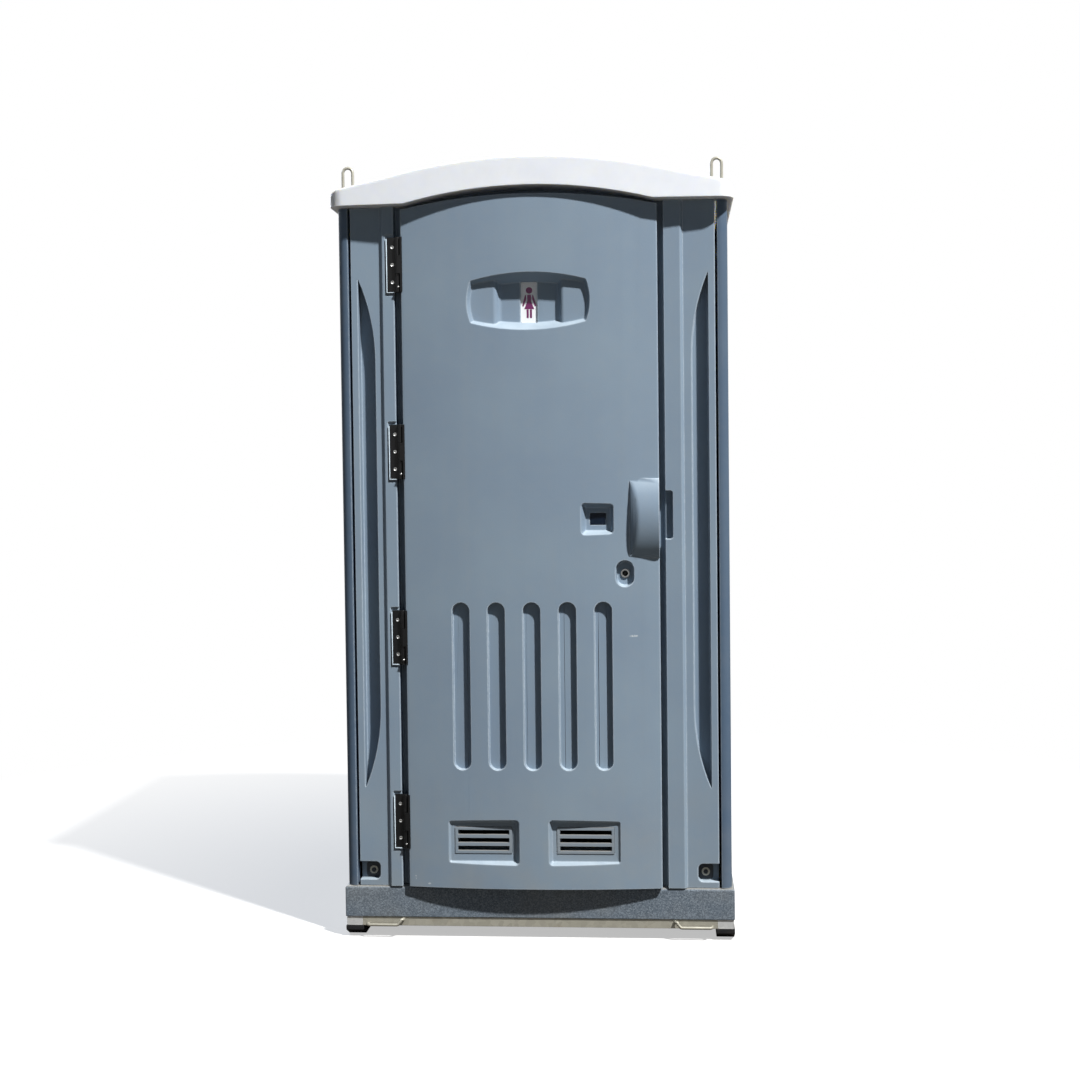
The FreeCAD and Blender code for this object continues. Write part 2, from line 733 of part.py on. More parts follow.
def near(value, size):
    return abs(value - plain(size)) < NEARLY


# Skid and frame


def skid_runner(name, side):
    """A black runner with a sloped nose at each end."""
    runner = Moulding(name)
    low = base_front + s.strip_setback
    high = base_back - s.strip_setback
    profile = [
        (low + s.runner_nose, 0),
        (high - s.runner_nose, 0),
        (high, s.runner_lift),
        (high, s.runner_height),
        (low, s.runner_height),
        (low, s.runner_lift),
    ]
    outer = side * base_side
    inner = side * (base_side - s.runner_width)
    low_x, high_x = (inner, outer) if side > 0 else (outer, inner)
    runner.pad("YZ", profile, low_x, high_x)


def tube_along(name, plane, u, v, low, high):
    """A rectangular steel tube."""
    tube = Moulding(name)
    wall = s.rail_wall
    tube.pad(plane, rectangle(u, v), low, high)
    hollow = rectangle((u[0] + wall, u[1] - wall), (v[0] + wall, v[1] - wall))
    tube.pocket(plane, hollow, low, high)


rail_z = (s.runner_height, frame_top)
rail_middle = s.runner_height + s.rail_height / 2
side_rail_outer = base_side - s.rail_wall
side_rail_inner = side_rail_outer - s.side_rail_width
rail_front = base_front + s.strip_setback
rail_back = base_back - s.strip_setback


def frame():
    """Side rails on the runners, with end rails and cross members between them."""
    for name, side in (("frame_rail_left", -1), ("frame_rail_right", 1)):
        outer, inner = side * side_rail_outer, side * side_rail_inner
        across = (inner, outer) if side > 0 else (outer, inner)
        tube_along(name, "XZ", across, rail_z, rail_front, rail_back)
    between = (-side_rail_inner, side_rail_inner)
    depth = s.rail_depth
    centre = (base_front + base_back) / 2
    half = depth / 2
    spots = (
        ("frame_rail_front", rail_front, rail_front + depth),
        ("frame_rail_rear", rail_back - depth, rail_back),
        ("cross_member_front", centre - s.cross_spacing / 2 - half,
         centre - s.cross_spacing / 2 + half),
        ("cross_member_rear", centre + s.cross_spacing / 2 - half,
         centre + s.cross_spacing / 2 + half),
    )
    for name, low, high in spots:
        tube_along(name, "YZ", (low, high), rail_z, *between)


def tie_loop(name, side, face, outward):
    """A bent bar in front of an end rail: level, then sloped up to its inner leg."""
    loop = Moulding(name)
    level = rail_middle - s.tie_drop
    stand = face + outward * s.tie_standoff
    start = side_rail_inner - s.tie_bend
    knee = start - s.tie_reach
    path = [
        (side * start, level), (side * knee, level),
        (side * (knee - s.tie_rise), level + s.tie_rise),
    ]
    section = oval(stand, level, s.tie_radius, s.tie_radius, BAR_SIDES)
    loop.pipe("YZ", section, side * start, "XZ", path, stand)
    for x, z in (path[0], path[-1]):
        leg = oval(x, z, s.tie_radius, s.tie_radius, BAR_SIDES)
        loop.pad("XZ", leg, *ordered(face, stand))


def floor_pan():
    """The moulded base: a closed hollow shell with a rounded rim and treads on the deck."""
    pan = Moulding("floor_pan")
    across = (-base_side, base_side)
    along = (base_front, base_back)
    pan.pad("XY", rectangle(across, along), frame_top, deck)
    pan.dress("Fillet", "Radius", s.deck_round, lambda p, e: near(p.z, deck))
    skin = s.pan_skin
    hollow = rectangle(
        (across[0] + skin, across[1] - skin), (along[0] + skin, along[1] - skin)
    )
    pan.pocket("XY", hollow, frame_top + skin, deck - skin)
    first = column_back + s.tread_pitch
    tread = pan.pad(
        "XY",
        rectangle(span(ZERO, s.tread_length / 2), (first, first + s.tread_width)),
        deck, deck + s.tread_height,
    )
    pan.repeat([tread], "Y", s.tread_pitch, s.tread_count)


# Front columns, header and walls


def front_column(name, side, jamb, strip, stop):
    """A hollow moulded column with jamb strip, stop flange, leaf flute and bolt notch."""
    column = Moulding(name)
    wall = s.sheet_wall
    riser_in = jamb + side * strip
    riser_out = riser_in + side * s.riser_run
    outer = side * column_side
    stop_back = stop_face + s.stop_thickness
    section = [
        (jamb, strip_face), (riser_in, strip_face), (riser_out, column_face),
        (outer, column_face), (outer, column_back), (jamb + side * wall * 3, column_back),
        (jamb + side * wall, stop_back), (stop, stop_back), (stop, stop_face), (jamb, stop_face),
    ]
    column.pad("XY", section, deck, eaves)
    hollow = [
        (jamb + side * wall, strip_face + wall), (riser_in - side * wall / 2, strip_face + wall),
        (riser_out - side * wall / 2, column_face + wall), (outer - side * wall, column_face + wall),
        (outer - side * wall, column_back - wall), (jamb + side * wall * 4, column_back - wall),
        (jamb + side * wall * 2, stop_back),
        (jamb + side * wall, stop_face),
    ]
    column.pocket("XY", hollow, deck + wall, eaves - wall)
    # the flute and its pan
    edge = side * (wall_side - s.flute_edge)
    inner = edge - side * s.flute_width
    low = deck + s.flute_low
    high = low + s.flute_length
    radius = (s.flute_taper * s.flute_taper + s.flute_width * s.flute_width) / (s.flute_width * 2)
    pan = [
        (inner - side * wall, low - wall), (edge + side * wall, low - wall),
        (edge + side * wall, high + wall), (inner - side * wall, high + wall),
    ]
    leaf = [
        (edge, low), (edge, high), (inner, high - s.flute_taper, radius * side),
        (inner, low + s.flute_taper), (edge, low, radius * side),
    ][1:]
    column.pad("XZ", pan, column_face, column_face + s.flute_depth + wall)
    column.pocket("XZ", leaf, column_face, column_face + s.flute_depth)
    # the bolt notch, open to the outer edge
    middle = deck + s.notch_rise
    notch_in = outer - side * s.notch_width
    half = s.notch_height / 2
    turn = s.notch_round
    frame_in = notch_in - side * wall
    block = [
        (outer, deck), (outer, middle + half + wall), (frame_in, middle + half + wall),
        (frame_in, deck),
    ]
    column.pad("XZ", block, column_face, column_face + s.notch_depth + wall)
    opening = [
        (outer, middle - half), (outer, middle + half),
        (notch_in + side * turn, middle + half),
        (notch_in, middle + half - turn, turn * side),
        (notch_in, middle - half + turn),
        (notch_in + side * turn, middle - half, turn * side),
    ]
    column.pocket("XZ", opening, column_face, column_face + s.notch_depth)
    return column


def hinge_levels():
    return row(deck + s.hinge_first + s.hinge_pitch * (s.hinge_count - 1) / 2, s.hinge_pitch,
               s.hinge_count)


def columns():
    left = front_column("front_column_left", -1, left_jamb, s.hinge_strip, left_stop)
    wall = s.sheet_wall
    margin = s.hinge_margin
    leaf_out = left_jamb - s.leaf_width
    half = s.hinge_height / 2 + margin
    level = deck + s.hinge_first
    back = (leaf_out - margin - wall / 2, left_jamb)
    block = rectangle((back[0], back[1]), span(level, half + wall))
    recess = rectangle((leaf_out - margin / 2, left_jamb), span(level, half))
    deep = strip_face + s.hinge_plate
    backing = left.pad("XZ", block, strip_face + wall, deep + wall)
    pocket = left.pocket("XZ", recess, strip_face - wall, deep)
    left.repeat([backing, pocket], "Z", s.hinge_pitch, s.hinge_count)
    right = front_column("front_column_right", 1, right_jamb, s.latch_strip, right_stop)
    middle = deck + s.finger_rise
    half = s.finger_height / 2
    deep = strip_face + s.finger_depth
    block = rectangle((right_jamb, right_jamb + s.finger_width + wall), span(middle, half + wall))
    right.pad("XZ", block, strip_face, deep + wall)
    pocket = [
        (right_jamb, middle - half),
        (right_jamb + s.finger_width - s.notch_round / 2, middle - half),
        (right_jamb + s.finger_width, middle - half + s.notch_round / 2, s.notch_round / 2),
        (right_jamb + s.finger_width, middle + half - s.notch_round / 2),
        (right_jamb + s.finger_width - s.notch_round / 2, middle + half, s.notch_round / 2),
        (right_jamb, middle + half),
    ]
    right.pocket("XZ", pocket, strip_face, deep)


def brow(low, lift):
    """The arched opening over the door: from a low level to the arch, raised by lift."""
    left, right = door_middle - s.brow_left, door_middle + s.brow_right
    radius = bow_radius(s.brow_left + s.brow_right, s.brow_rise)
    return [(left, low), (right, low), (right, eaves + lift), (left, eaves + lift, radius)]


def door_header():
    """The beam that closes the space between the columns and the arched brow."""
    header = Moulding("door_header")
    wall = s.sheet_wall
    low = eaves - s.header_drop
    face = [(left_stop, low), (right_stop, low), (right_stop, eaves)]
    face += brow(low, 0)[2:] + [(left_stop, eaves)]
    header.pad("XZ", face, stop_face, stop_face + s.stop_thickness)
    for level in (low, eaves - wall):
        rib = rectangle((left_stop, right_stop), (level, level + wall))
        header.pad("XZ", rib, stop_face, stop_face + s.header_depth)


def bead(u, v, half):
    """Outline of an upright pressed bead with cut corners."""
    cut_corner = half / 2
    return [
        (u - half + cut_corner, v[0]), (u + half - cut_corner, v[0]),
        (u + half, v[0] + cut_corner * 2), (u + half, v[1] - cut_corner * 2),
        (u + half - cut_corner, v[1]), (u - half + cut_corner, v[1]),
        (u - half, v[1] - cut_corner * 2), (u - half, v[0] + cut_corner * 2),
    ]


def side_wall(name, side):
    """A sheet with a rounded front strip, pressed beads and vent slots near the top."""
    wall = s.sheet_wall
    outer = side * wall_side
    inner = side * wall_inside
    edge = side * strip_edge
    turn = s.strip_round
    back = back_face - wall
    section = [
        (edge, strip_front),
        (outer - side * turn, strip_front),
        (outer, strip_front + turn, side * turn),
        (outer, back),
        (inner, back),
        (inner, strip_front + turn),
        (outer - side * turn, strip_front + wall, -side * (turn - wall)),
        (edge + side * wall, strip_front + wall),
        (edge + side * wall, strip_front + s.strip_return),
        (edge, strip_front + s.strip_return),
    ]
    sheet = prism("XY", section, deck, eaves)
    middle = (base_front + base_back) / 2
    low = deck + s.bead_low
    beads = (low, low + s.bead_length)
    outlines, backs = [], []
    for y in row(middle, s.bead_pitch, s.bead_count):
        outlines.append(bead(y, beads, s.bead_half))
        backs.append(bead(y, (beads[0] - wall, beads[1] + wall), s.bead_half + wall))
    floor_x = side * (wall_side - s.bead_depth)
    pan_x = side * (wall_inside - s.bead_depth)
    recess = prism("YZ", outlines, *ordered(floor_x, outer + side * wall))
    pans = prism("YZ", backs, *ordered(pan_x, inner))
    slots = []
    vent = deck + s.side_vent_low
    for y in row(middle, s.side_vent_pitch, s.side_vent_count):
        slots.append(rectangle(span(y, s.side_vent_width / 2), (vent, vent + s.side_vent_height)))
    vents = prism("YZ", slots, *ordered(inner - side * wall, outer + side * wall))
    keep(name, cut(fuse(sheet, pans), recess, vents))


def back_wall():
    """A sheet with a flange inside each side wall and pressed beads."""
    wall = s.sheet_wall
    section = [
        (-wall_side, back_face - wall), (-wall_side, back_face),
        (wall_side, back_face), (wall_side, back_face - wall),
        (wall_inside, back_face - wall), (wall_inside, back_face - wall - s.back_return),
        (wall_inside - wall, back_face - wall - s.back_return), (wall_inside - wall, back_face - wall),
        (wall - wall_inside, back_face - wall), (wall - wall_inside, back_face - wall - s.back_return),
        (-wall_inside, back_face - wall - s.back_return), (-wall_inside, back_face - wall),
    ]
    sheet = prism("XY", section, deck, eaves)
    low = deck + s.bead_low
    beads = (low, low + s.bead_length)
    outlines, backs = [], []
    for x in row(ZERO, s.back_bead_pitch, s.back_bead_count):
        outlines.append(bead(x, beads, s.bead_half))
        backs.append(bead(x, (beads[0] - wall, beads[1] + wall), s.bead_half + wall))
    recess = prism("XZ", outlines, back_face - s.bead_depth, back_face + wall)
    pans = prism("XZ", backs, back_face - s.bead_depth - wall, back_face - wall)
    keep("back_wall", cut(fuse(sheet, pans), recess))


# Roof


def roof_blank(inset):
    """The roof's outer form, or the same form with every face moved inward by inset."""
    half = s.roof_width / 2 - inset
    top = eaves + s.roof_rise - inset
    shoulder = eaves + s.roof_shoulder - inset
    turn = s.roof_shoulder_run
    flank = eaves + s.roof_flank_rise - inset
    radius = bow_radius(s.roof_flank * 2, top - flank)
    bottom = eaves + inset
    profile = [
        (-half, bottom), (half, bottom), (half, shoulder - turn),
        (half - turn, shoulder, s.roof_shoulder_radius), (s.roof_flank, flank),
        (-s.roof_flank, flank, radius), (turn - half, shoulder),
        (-half, shoulder - turn, s.roof_shoulder_radius),
    ]
    lip = roof_front + s.roof_bow + inset
    rear = roof_back - s.roof_bow - inset
    corner = s.roof_corner - inset
    bow = bow_radius((half - corner) * 2, s.roof_bow)
    plan = [
        (half - corner, lip, bow), (half, lip + corner, corner), (half, rear - corner),
        (half - corner, rear, corner), (corner - half, rear, bow),
        (-half, rear - corner, corner), (-half, lip + corner), (corner - half, lip, corner),
    ]
    vault = prism("XZ", profile, roof_front, roof_back)
    return common(vault, prism("XY", plan, bottom, top))


def roof():
    """A thin vault with a flange on the walls and an arched brow over the door."""
    wall = s.sheet_wall
    mouth = s.roof_flange
    opening = box(
        (mouth - s.roof_width / 2, s.roof_width / 2 - mouth),
        (column_face + mouth, back_face - mouth),
        (eaves - wall, eaves + wall * 2),
    )
    front, back = roof_front - wall, stop_face + s.stop_thickness + s.seat_gap
    soffit = prism("XZ", brow(eaves, wall), front, back)
    cavity = cut(fuse(roof_blank(wall), opening), soffit)
    void = prism("XZ", brow(eaves - wall, 0), front, back)
    holes = []
    fit = s.lift_radius + s.seat_gap
    for side in (-1, 1):
        long_x, short_x = lift_legs(side)
        for y in (lift_front_y, lift_rear_y):
            holes.append(box(span(long_x, fit), span(y, fit), (eaves - wall, flange_top + wall)))
            across = ordered(short_x - side * fit, long_x + side * fit)
            holes.append(box(across, span(y, fit), (flange_top + wall, s.lift_top)))
    pipe_hole = rod(
        "Z", (s.pipe_offset, pipe_y), (eaves - wall, s.pipe_top), s.pipe_radius + s.seat_gap
    )
    keep("roof", cut(roof_blank(ZERO), cavity, void, pipe_hole, *holes))


def lift_legs(side):
    """Where the long and the short leg of a lifting eye stand."""
    long_x = side * (wall_side - s.lift_inset)
    return long_x, long_x - side * s.lift_pitch


def lifting_eye(name, side, y):
    """A bent bar: a loop over the roof, a short leg on its flange and a long leg to the deck."""
    eye = Moulding(name)
    long_x, short_x = lift_legs(side)
    bend = s.lift_pitch / 2
    level = s.lift_top - s.lift_radius - bend
    path = [(long_x, deck)]
    for number in range(LOOP_SIDES + 1):
        turn = math.pi * number / LOOP_SIDES
        path.append((long_x - side * bend * (1 - math.cos(turn)), level + bend * math.sin(turn)))
    path.append((short_x, flange_top))
    section = oval(long_x, y, s.lift_radius, s.lift_radius, BAR_SIDES)
    eye.pipe("XY", section, deck, "XZ", path, y)


# Door


def bowed(inset):
    """The round form that the door's face follows, moved inward by inset."""
    return rod("Z", (door_middle, door_axis), (deck, eaves + s.door_arch * 2), door_radius - inset)


def door_outline(inset):
    half = s.door_width / 2 - inset
    radius = bow_radius(half * 2, s.door_arch)
    return [
        (door_middle - half, door_bottom + inset),
        (door_middle + half, door_bottom + inset),
        (door_middle + half, door_top - inset),
        (door_middle - half, door_top - inset, radius),
    ]


def surface_at(offset):
    """Where the bowed face lies at a distance from the door's middle."""
    return door_crown + offset * offset / (door_radius * 2)


def sign_recess():
    """A barrel outline with sloped walls and a floor that steps down in the middle."""
    half_u = s.sign_width / 2
    half_v = s.sign_height / 2
    middle = deck + s.sign_rise
    radius_u = bow_radius(s.sign_width, s.sign_bulge_z)
    radius_v = bow_radius(s.sign_height, s.sign_bulge_x)
    barrel = [
        (door_middle - half_u, middle - half_v, radius_v),
        (door_middle + half_u, middle - half_v, radius_u),
        (door_middle + half_u, middle + half_v, radius_v),
        (door_middle - half_u, middle + half_v, radius_u),
    ]
    deep = door_crown + s.sign_depth
    ledge = door_crown + s.sign_ledge
    walls = prism("XZ", barrel, door_crown, deep, draft=s.sign_draft)
    field = s.sign_field / 2
    ramp = s.sign_ramp
    step = s.sign_depth - s.sign_ledge
    turn = (ramp * ramp + step * step) / (step * 4)
    wide = half_u + s.sign_bulge_x * 2
    front = door_crown - s.sheet_wall
    floor = [
        (door_middle - wide, front),
        (door_middle + wide, front),
        (door_middle + wide, ledge),
        (door_middle + field + ramp, ledge),
        (door_middle + field + ramp / 2, (ledge + deep) / 2, -turn),
        (door_middle + field, deep, turn),
        (door_middle - field, deep),
        (door_middle - field - ramp / 2, (ledge + deep) / 2, turn),
        (door_middle - field - ramp, ledge, -turn),
        (door_middle - wide, ledge),
    ]
    height = half_v + s.sign_bulge_z * 2
    return common(walls, prism("XY", floor, middle - height, middle + height))


def plate_recess():
    """The pocket of the sign plate in the floor of the sign recess."""
    floor_y = door_crown + s.sign_depth
    return box(
        span(door_middle, s.plate_width / 2 + s.seat_gap),
        (floor_y - s.sheet_wall, floor_y + s.plate_pocket),
        span(deck + s.sign_rise, s.plate_height / 2 + s.seat_gap),
    )


def shallow_recess(offset, middle, half_u, half_v, depth):
    """A rectangular recess with round corners and sloped walls.

    It starts at the foremost point of the bowed face inside its outline.
    """
    reach = offset if plain(offset) > 0 else -offset
    front = surface_at(reach - half_u) - OVERCUT
    outline = rounded(span(door_middle + offset, half_u), span(middle, half_v), s.recess_round)
    return prism("XZ", outline, front, surface_at(offset) + depth, draft=s.recess_draft)


def vent_recess(side):
    return shallow_recess(
        side * s.vent_offset, deck + s.vent_rise, s.vent_recess_width / 2,
        s.vent_recess_height / 2, s.vent_recess_depth,
    )


def lock_recess():
    return shallow_recess(s.lock_offset, lock_z, s.lock_width / 2, s.lock_height / 2, s.lock_depth)


def key_recess():
    front = surface_at(s.key_offset)
    outline = slot(key_x, span(key_z, s.key_recess_height / 2), s.key_recess_half)
    return prism("XZ", outline, front - s.sheet_wall, front + s.key_recess_depth, draft=s.key_draft)


def grooves():
    """Five upright grooves whose floors follow the bow of the door."""
    low = deck + s.groove_low
    outlines = []
    for x in row(door_middle, s.groove_pitch, s.groove_count):
        outlines.append(slot(x, (low, low + s.groove_length), s.groove_half))
    bars = prism("XZ", outlines, door_crown - s.sheet_wall, door_back)
    return cut(bars, bowed(s.groove_depth))


def grip_form(inset):
    """The hood of the pull grip: a round back, a slanted closed end, open to the right."""
    left = door_right - s.grip_width + inset
    middle = deck + s.grip_rise
    edge_y = surface_at(s.door_width / 2 - s.grip_width / 2)
    half = s.grip_height / 2
    radius = bow_radius(s.grip_height, s.grip_reach)
    centre = edge_y - s.grip_reach + radius
    slant = s.grip_slant
    hood = rod("X", (centre, middle), (left, door_right + inset), radius - inset)
    plan = [
        (left + slant, edge_y - s.grip_reach - OVERCUT),
        (door_right + inset, edge_y - s.grip_reach - OVERCUT),
        (door_right + inset, edge_y + s.grip_hollow - inset),
        (left, edge_y + s.grip_hollow - inset),
        (left, edge_y),
    ]
    return common(hood, prism("XY", plan, middle - half + inset, middle + half - inset))


def vent_panel_size(grow):
    middle = deck + s.vent_rise + s.vent_lift
    return span(middle, s.vent_height / 2 + grow)


def vent_floor():
    return surface_at(s.vent_offset) + s.vent_recess_depth


def pan_box(u, v, back):
    """A plain backing behind a recess, inside the door where nothing shows it."""
    wall = s.sheet_wall
    return box((u[0] - wall, u[1] + wall), (door_crown, back + wall), (v[0] - wall, v[1] + wall))


def recess_backs():
    middle = deck + s.sign_rise
    wide = span(door_middle, s.sign_width / 2 + s.sign_bulge_x)
    high = span(middle, s.sign_height / 2 + s.sign_bulge_z)
    field = span(door_middle, s.sign_field / 2 + s.sign_ramp)
    pocket = door_crown + s.sign_depth + s.plate_pocket
    backs = [
        pan_box(wide, high, door_crown + s.sign_ledge),
        pan_box(field, high, door_crown + s.sign_depth),
        pan_box(span(door_middle, s.plate_width / 2), span(middle, s.plate_height / 2), pocket),
        pan_box(span(lock_x, s.lock_width / 2), span(lock_z, s.lock_height / 2),
                surface_at(s.lock_offset) + s.lock_depth),
        pan_box(span(key_x, s.key_recess_half), span(key_z, s.key_recess_height / 2),
                surface_at(s.key_offset) + s.key_recess_depth),
    ]
    for side in (-1, 1):
        backs.append(pan_box(
            span(door_middle + side * s.vent_offset, s.vent_recess_width / 2),
            span(deck + s.vent_rise, s.vent_recess_height / 2), vent_floor(),
        ))
    low = deck + s.groove_low
    for offset in row(ZERO, s.groove_pitch, s.groove_count):
        outward = s.groove_half if plain(offset) >= 0 else -s.groove_half
        far = surface_at(offset + outward)
        backs.append(pan_box(
            span(door_middle + offset, s.groove_half), (low, low + s.groove_length),
            far + s.groove_depth,
        ))
    return backs


def door_outer_skin():
    """The moulded outer skin: a bowed tray with every recess drawn in."""
    wall = s.sheet_wall
    blank = common(prism("XZ", door_outline(ZERO), door_crown - wall, door_back), bowed(ZERO))
    hollow = common(
        prism("XZ", door_outline(wall), door_crown - wall, door_back + wall), bowed(wall)
    )
    tray = cut(blank, hollow)
    backs = common(blank, fuse(*recess_backs()))
    cuts = [sign_recess(), plate_recess(), grooves(), lock_recess(), key_recess()]
    cuts += [vent_recess(side) for side in (-1, 1)]
    cuts.append(grip_form(wall))
    floor_y = vent_floor()
    for side in (-1, 1):
        x = door_middle + side * s.vent_offset
        half = s.vent_width / 2 + s.seat_gap
        cuts.append(box(span(x, half), (floor_y - wall, floor_y + wall * 2), vent_panel_size(s.seat_gap)))
    lock_floor = surface_at(s.lock_offset) + s.lock_depth
    cuts.append(box(
        span(lock_x, s.window_width / 2 + s.seat_gap),
        (lock_floor - wall, lock_floor + wall * 2),
        span(lock_z, s.window_height / 2 + s.seat_gap),
    ))
    key_floor = surface_at(s.key_offset) + s.key_recess_depth
    cuts.append(rod("Y", (key_x, key_z), (key_floor - wall, key_floor + wall * 2),
                    s.key_radius + s.spindle_play))
    keep("door_outer_skin", cut(fuse(tray, backs, grip_form(ZERO)), *cuts))


def door_inner_skin():
    """The flat sheet inside the door, with openings behind the vents and for the spindle."""
    inset = s.sheet_wall + s.seat_gap
    low, high = door_back - s.inner_skin, door_back
    sheet = prism("XZ", door_outline(inset), low, high)
    holes = [rod("Y", (lock_x, lock_z), (low - OVERCUT, high + OVERCUT), s.spindle_radius + s.spindle_play)]
    middle = deck + s.vent_rise + s.vent_lift
    for side in (-1, 1):
        x = door_middle + side * s.vent_offset
        half_u = s.vent_width / 2 - s.vent_slot_margin
        half_v = s.vent_height / 2 - s.vent_slot_margin
        holes.append(box(span(x, half_u), (low - OVERCUT, high + OVERCUT), span(middle, half_v)))
    keep("door_inner_skin", cut(sheet, *holes))


def door_vent(name, side):
    """A louvre insert: a frame with three slots in its opening."""
    insert = Moulding(name)
    x = door_middle + side * s.vent_offset
    low_z, high_z = vent_panel_size(0)
    floor_y = vent_floor()
    insert.pad("XZ", rectangle(span(x, s.vent_width / 2), (low_z, high_z)), floor_y - s.inner_skin / 2,
               floor_y + s.vent_thickness)
    half = s.vent_width / 2 - s.vent_slot_margin
    first = (low_z + high_z) / 2 - s.vent_slot_pitch
    gap = insert.pocket(
        "XZ", rectangle(span(x, half), span(first, s.vent_slot_height / 2)),
        floor_y - s.vent_thickness, floor_y + s.vent_thickness,
    )
    insert.repeat([gap], "Z", s.vent_slot_pitch, s.vent_slot_count)


def sign_plate():
    plate = Moulding("sign_plate")
    floor_y = door_crown + s.sign_depth + s.plate_pocket
    middle = deck + s.sign_rise
    outline = rectangle(span(door_middle, s.plate_width / 2), span(middle, s.plate_height / 2))
    plate.pad("XZ", outline, floor_y - s.plate_thickness, floor_y)


# Hinges


def hinge_frame_leaf(name, level):
    """The leaf in the jamb pocket, with the upper and lower knuckle and the pin."""
    half = s.hinge_height / 2
    third = s.hinge_height / 6
    outer_x = left_jamb - s.leaf_width
    edge_x = pivot_x - s.knuckle_radius - s.knuckle_gap
    back = strip_face + s.hinge_plate
    parts = [box((outer_x, edge_x), (strip_face, back), span(level, half))]
    for low, high in ((level - half, level - third), (level + third, level + half)):
        parts.append(box((edge_x, pivot_x), (strip_face, strip_face + s.hinge_plate / 2), (low, high)))
        parts.append(faceted("Z", (pivot_x, pivot_y), (low, high), s.knuckle_radius))
    parts.append(rod("Z", (pivot_x, pivot_y), span(level, third), s.pin_radius))
    keep(name, fuse(*parts))


def hinge_door_leaf(name, level):
    """The leaf on the door's edge, with the middle knuckle and a lip over the door's face."""
    half = s.hinge_height / 2
    third = s.hinge_height / 6 - s.knuckle_gap
    plate_x = (door_left - s.door_leaf_plate, door_left)
    front = pivot_y + s.pivot_proud + s.knuckle_gap
    plate = box(plate_x, (front, front + s.door_leaf_depth), span(level, half))
    arm = box((pivot_x, door_left), (pivot_y + s.pin_radius, front + s.hinge_plate), span(level, third))
    knuckle = faceted("Z", (pivot_x, pivot_y), span(level, third), s.knuckle_radius)
    lip_back = surface_at(s.door_width / 2 - s.leaf_lap) - s.seat_gap
    lip_front = lip_back - s.door_leaf_plate
    web = box((pivot_x, door_left - s.seat_gap), (lip_front, pivot_y), span(level, third))
    lip = box((door_left - OVERCUT, door_left + s.leaf_lap), (lip_front, lip_back), span(level, half))
    bore = rod("Z", (pivot_x, pivot_y), span(level, half), s.pin_radius + s.pin_play)
    keep(name, cut(fuse(plate, arm, knuckle, web, lip), bore))


def hinges():
    for number, level in enumerate(hinge_levels(), start=1):
        hinge_frame_leaf("hinge_frame_leaf_%d" % number, level)
        hinge_door_leaf("hinge_door_leaf_%d" % number, level)


# Lock


def lock_case():
    """The plastic case on the inside of the door, with a channel for the bolt."""
    case = Moulding("lock_case")
    left, right = lock_x - s.case_left, lock_x + s.case_right
    back = door_back + s.case_depth
    case.pad("XZ", rectangle((left, right), span(lock_z, s.case_half)), door_back, back)
    middle = bolt_middle()
    half_y = s.bolt_thickness / 2 + s.bolt_play
    half_z = s.bolt_half + s.bolt_play
    channel = rectangle(span(middle, half_y), span(lock_z, half_z))
    case.pocket("YZ", channel, left + s.sheet_wall, right + OVERCUT)
    hole = oval(lock_x, lock_z, s.case_hole, s.case_hole, HOLE_SIDES)
    case.pocket("XZ", hole, door_back, back)


def bolt_middle():
    return stop_face + s.stop_thickness + s.strike_thickness + s.bolt_play + s.bolt_thickness / 2


def latch_bolt():
    """The sliding bar: its window lets the spindle through over the whole travel."""
    bolt = Moulding("latch_bolt")
    right = lock_x + s.case_right + s.bolt_retracted
    left = lock_x - s.bolt_tail
    half = s.bolt_thickness / 2
    middle = bolt_middle()
    bolt.pad("XZ", rectangle((left, right), span(lock_z, s.bolt_half)), middle - half, middle + half)
    clear = s.spindle_radius + s.bolt_play
    window = rectangle((lock_x - clear - s.bolt_travel, lock_x + clear), span(lock_z, clear))
    bolt.pocket("XZ", window, middle - half, middle + half)


def lock_knob():
    """The thumb turn with its spindle through the door."""
    back = door_back + s.case_depth + s.seat_gap
    dial_back = dial_front() + s.dial_thickness
    spindle = rod("Y", (lock_x, lock_z), (dial_back, back), s.spindle_radius)
    base = faceted("Y", (lock_x, lock_z), (back, back + s.knob_base), s.knob_radius)
    grip = box(span(lock_x, s.knob_width / 2), (back, back + s.knob_reach), span(lock_z, s.knob_length / 2))
    keep("lock_knob", fuse(spindle, base, grip))


def dial_front():
    return surface_at(s.lock_offset) + s.lock_depth + s.inner_skin + s.dial_gap


def indicator():
    front = dial_front()
    dial = faceted("Y", (lock_x, lock_z), (front, front + s.dial_thickness), s.dial_radius)
    keep("indicator_dial", dial)
    window = Moulding("indicator_window")
    floor_y = surface_at(s.lock_offset) + s.lock_depth
    outline = rectangle(span(lock_x, s.window_width / 2), span(lock_z, s.window_height / 2))
    window.pad("XZ", outline, floor_y, floor_y + s.inner_skin)


def strike_plate():
    """The steel plate on the back of the stop flange that the bolt rides behind."""
    face = stop_face + s.stop_thickness
    plate = Moulding("strike_plate")
    outline = rectangle((right_stop, right_jamb), span(lock_z, s.strike_half))
    plate.pad("XZ", outline, face, face + s.strike_thickness)


def key_cylinder():
    """The service lock: a socketed barrel with a cam tail inside the door."""
    floor_y = surface_at(s.key_offset) + s.key_recess_depth
    front = floor_y - s.key_proud
    back = floor_y + s.sheet_wall + s.seat_gap
    barrel = rod("Y", (key_x, key_z), (front, back), s.key_radius)
    socket = faceted("Y", (key_x, key_z), (front, front + s.key_socket_depth), s.key_socket, HOLE_SIDES)
    tail = box(
        span(key_x, s.cam_width / 2), (back, back + s.cam_thickness),
        (key_z - s.cam_length, key_z + s.cam_width / 2),
    )
    keep("key_cylinder", fuse(cut(barrel, socket), tail))


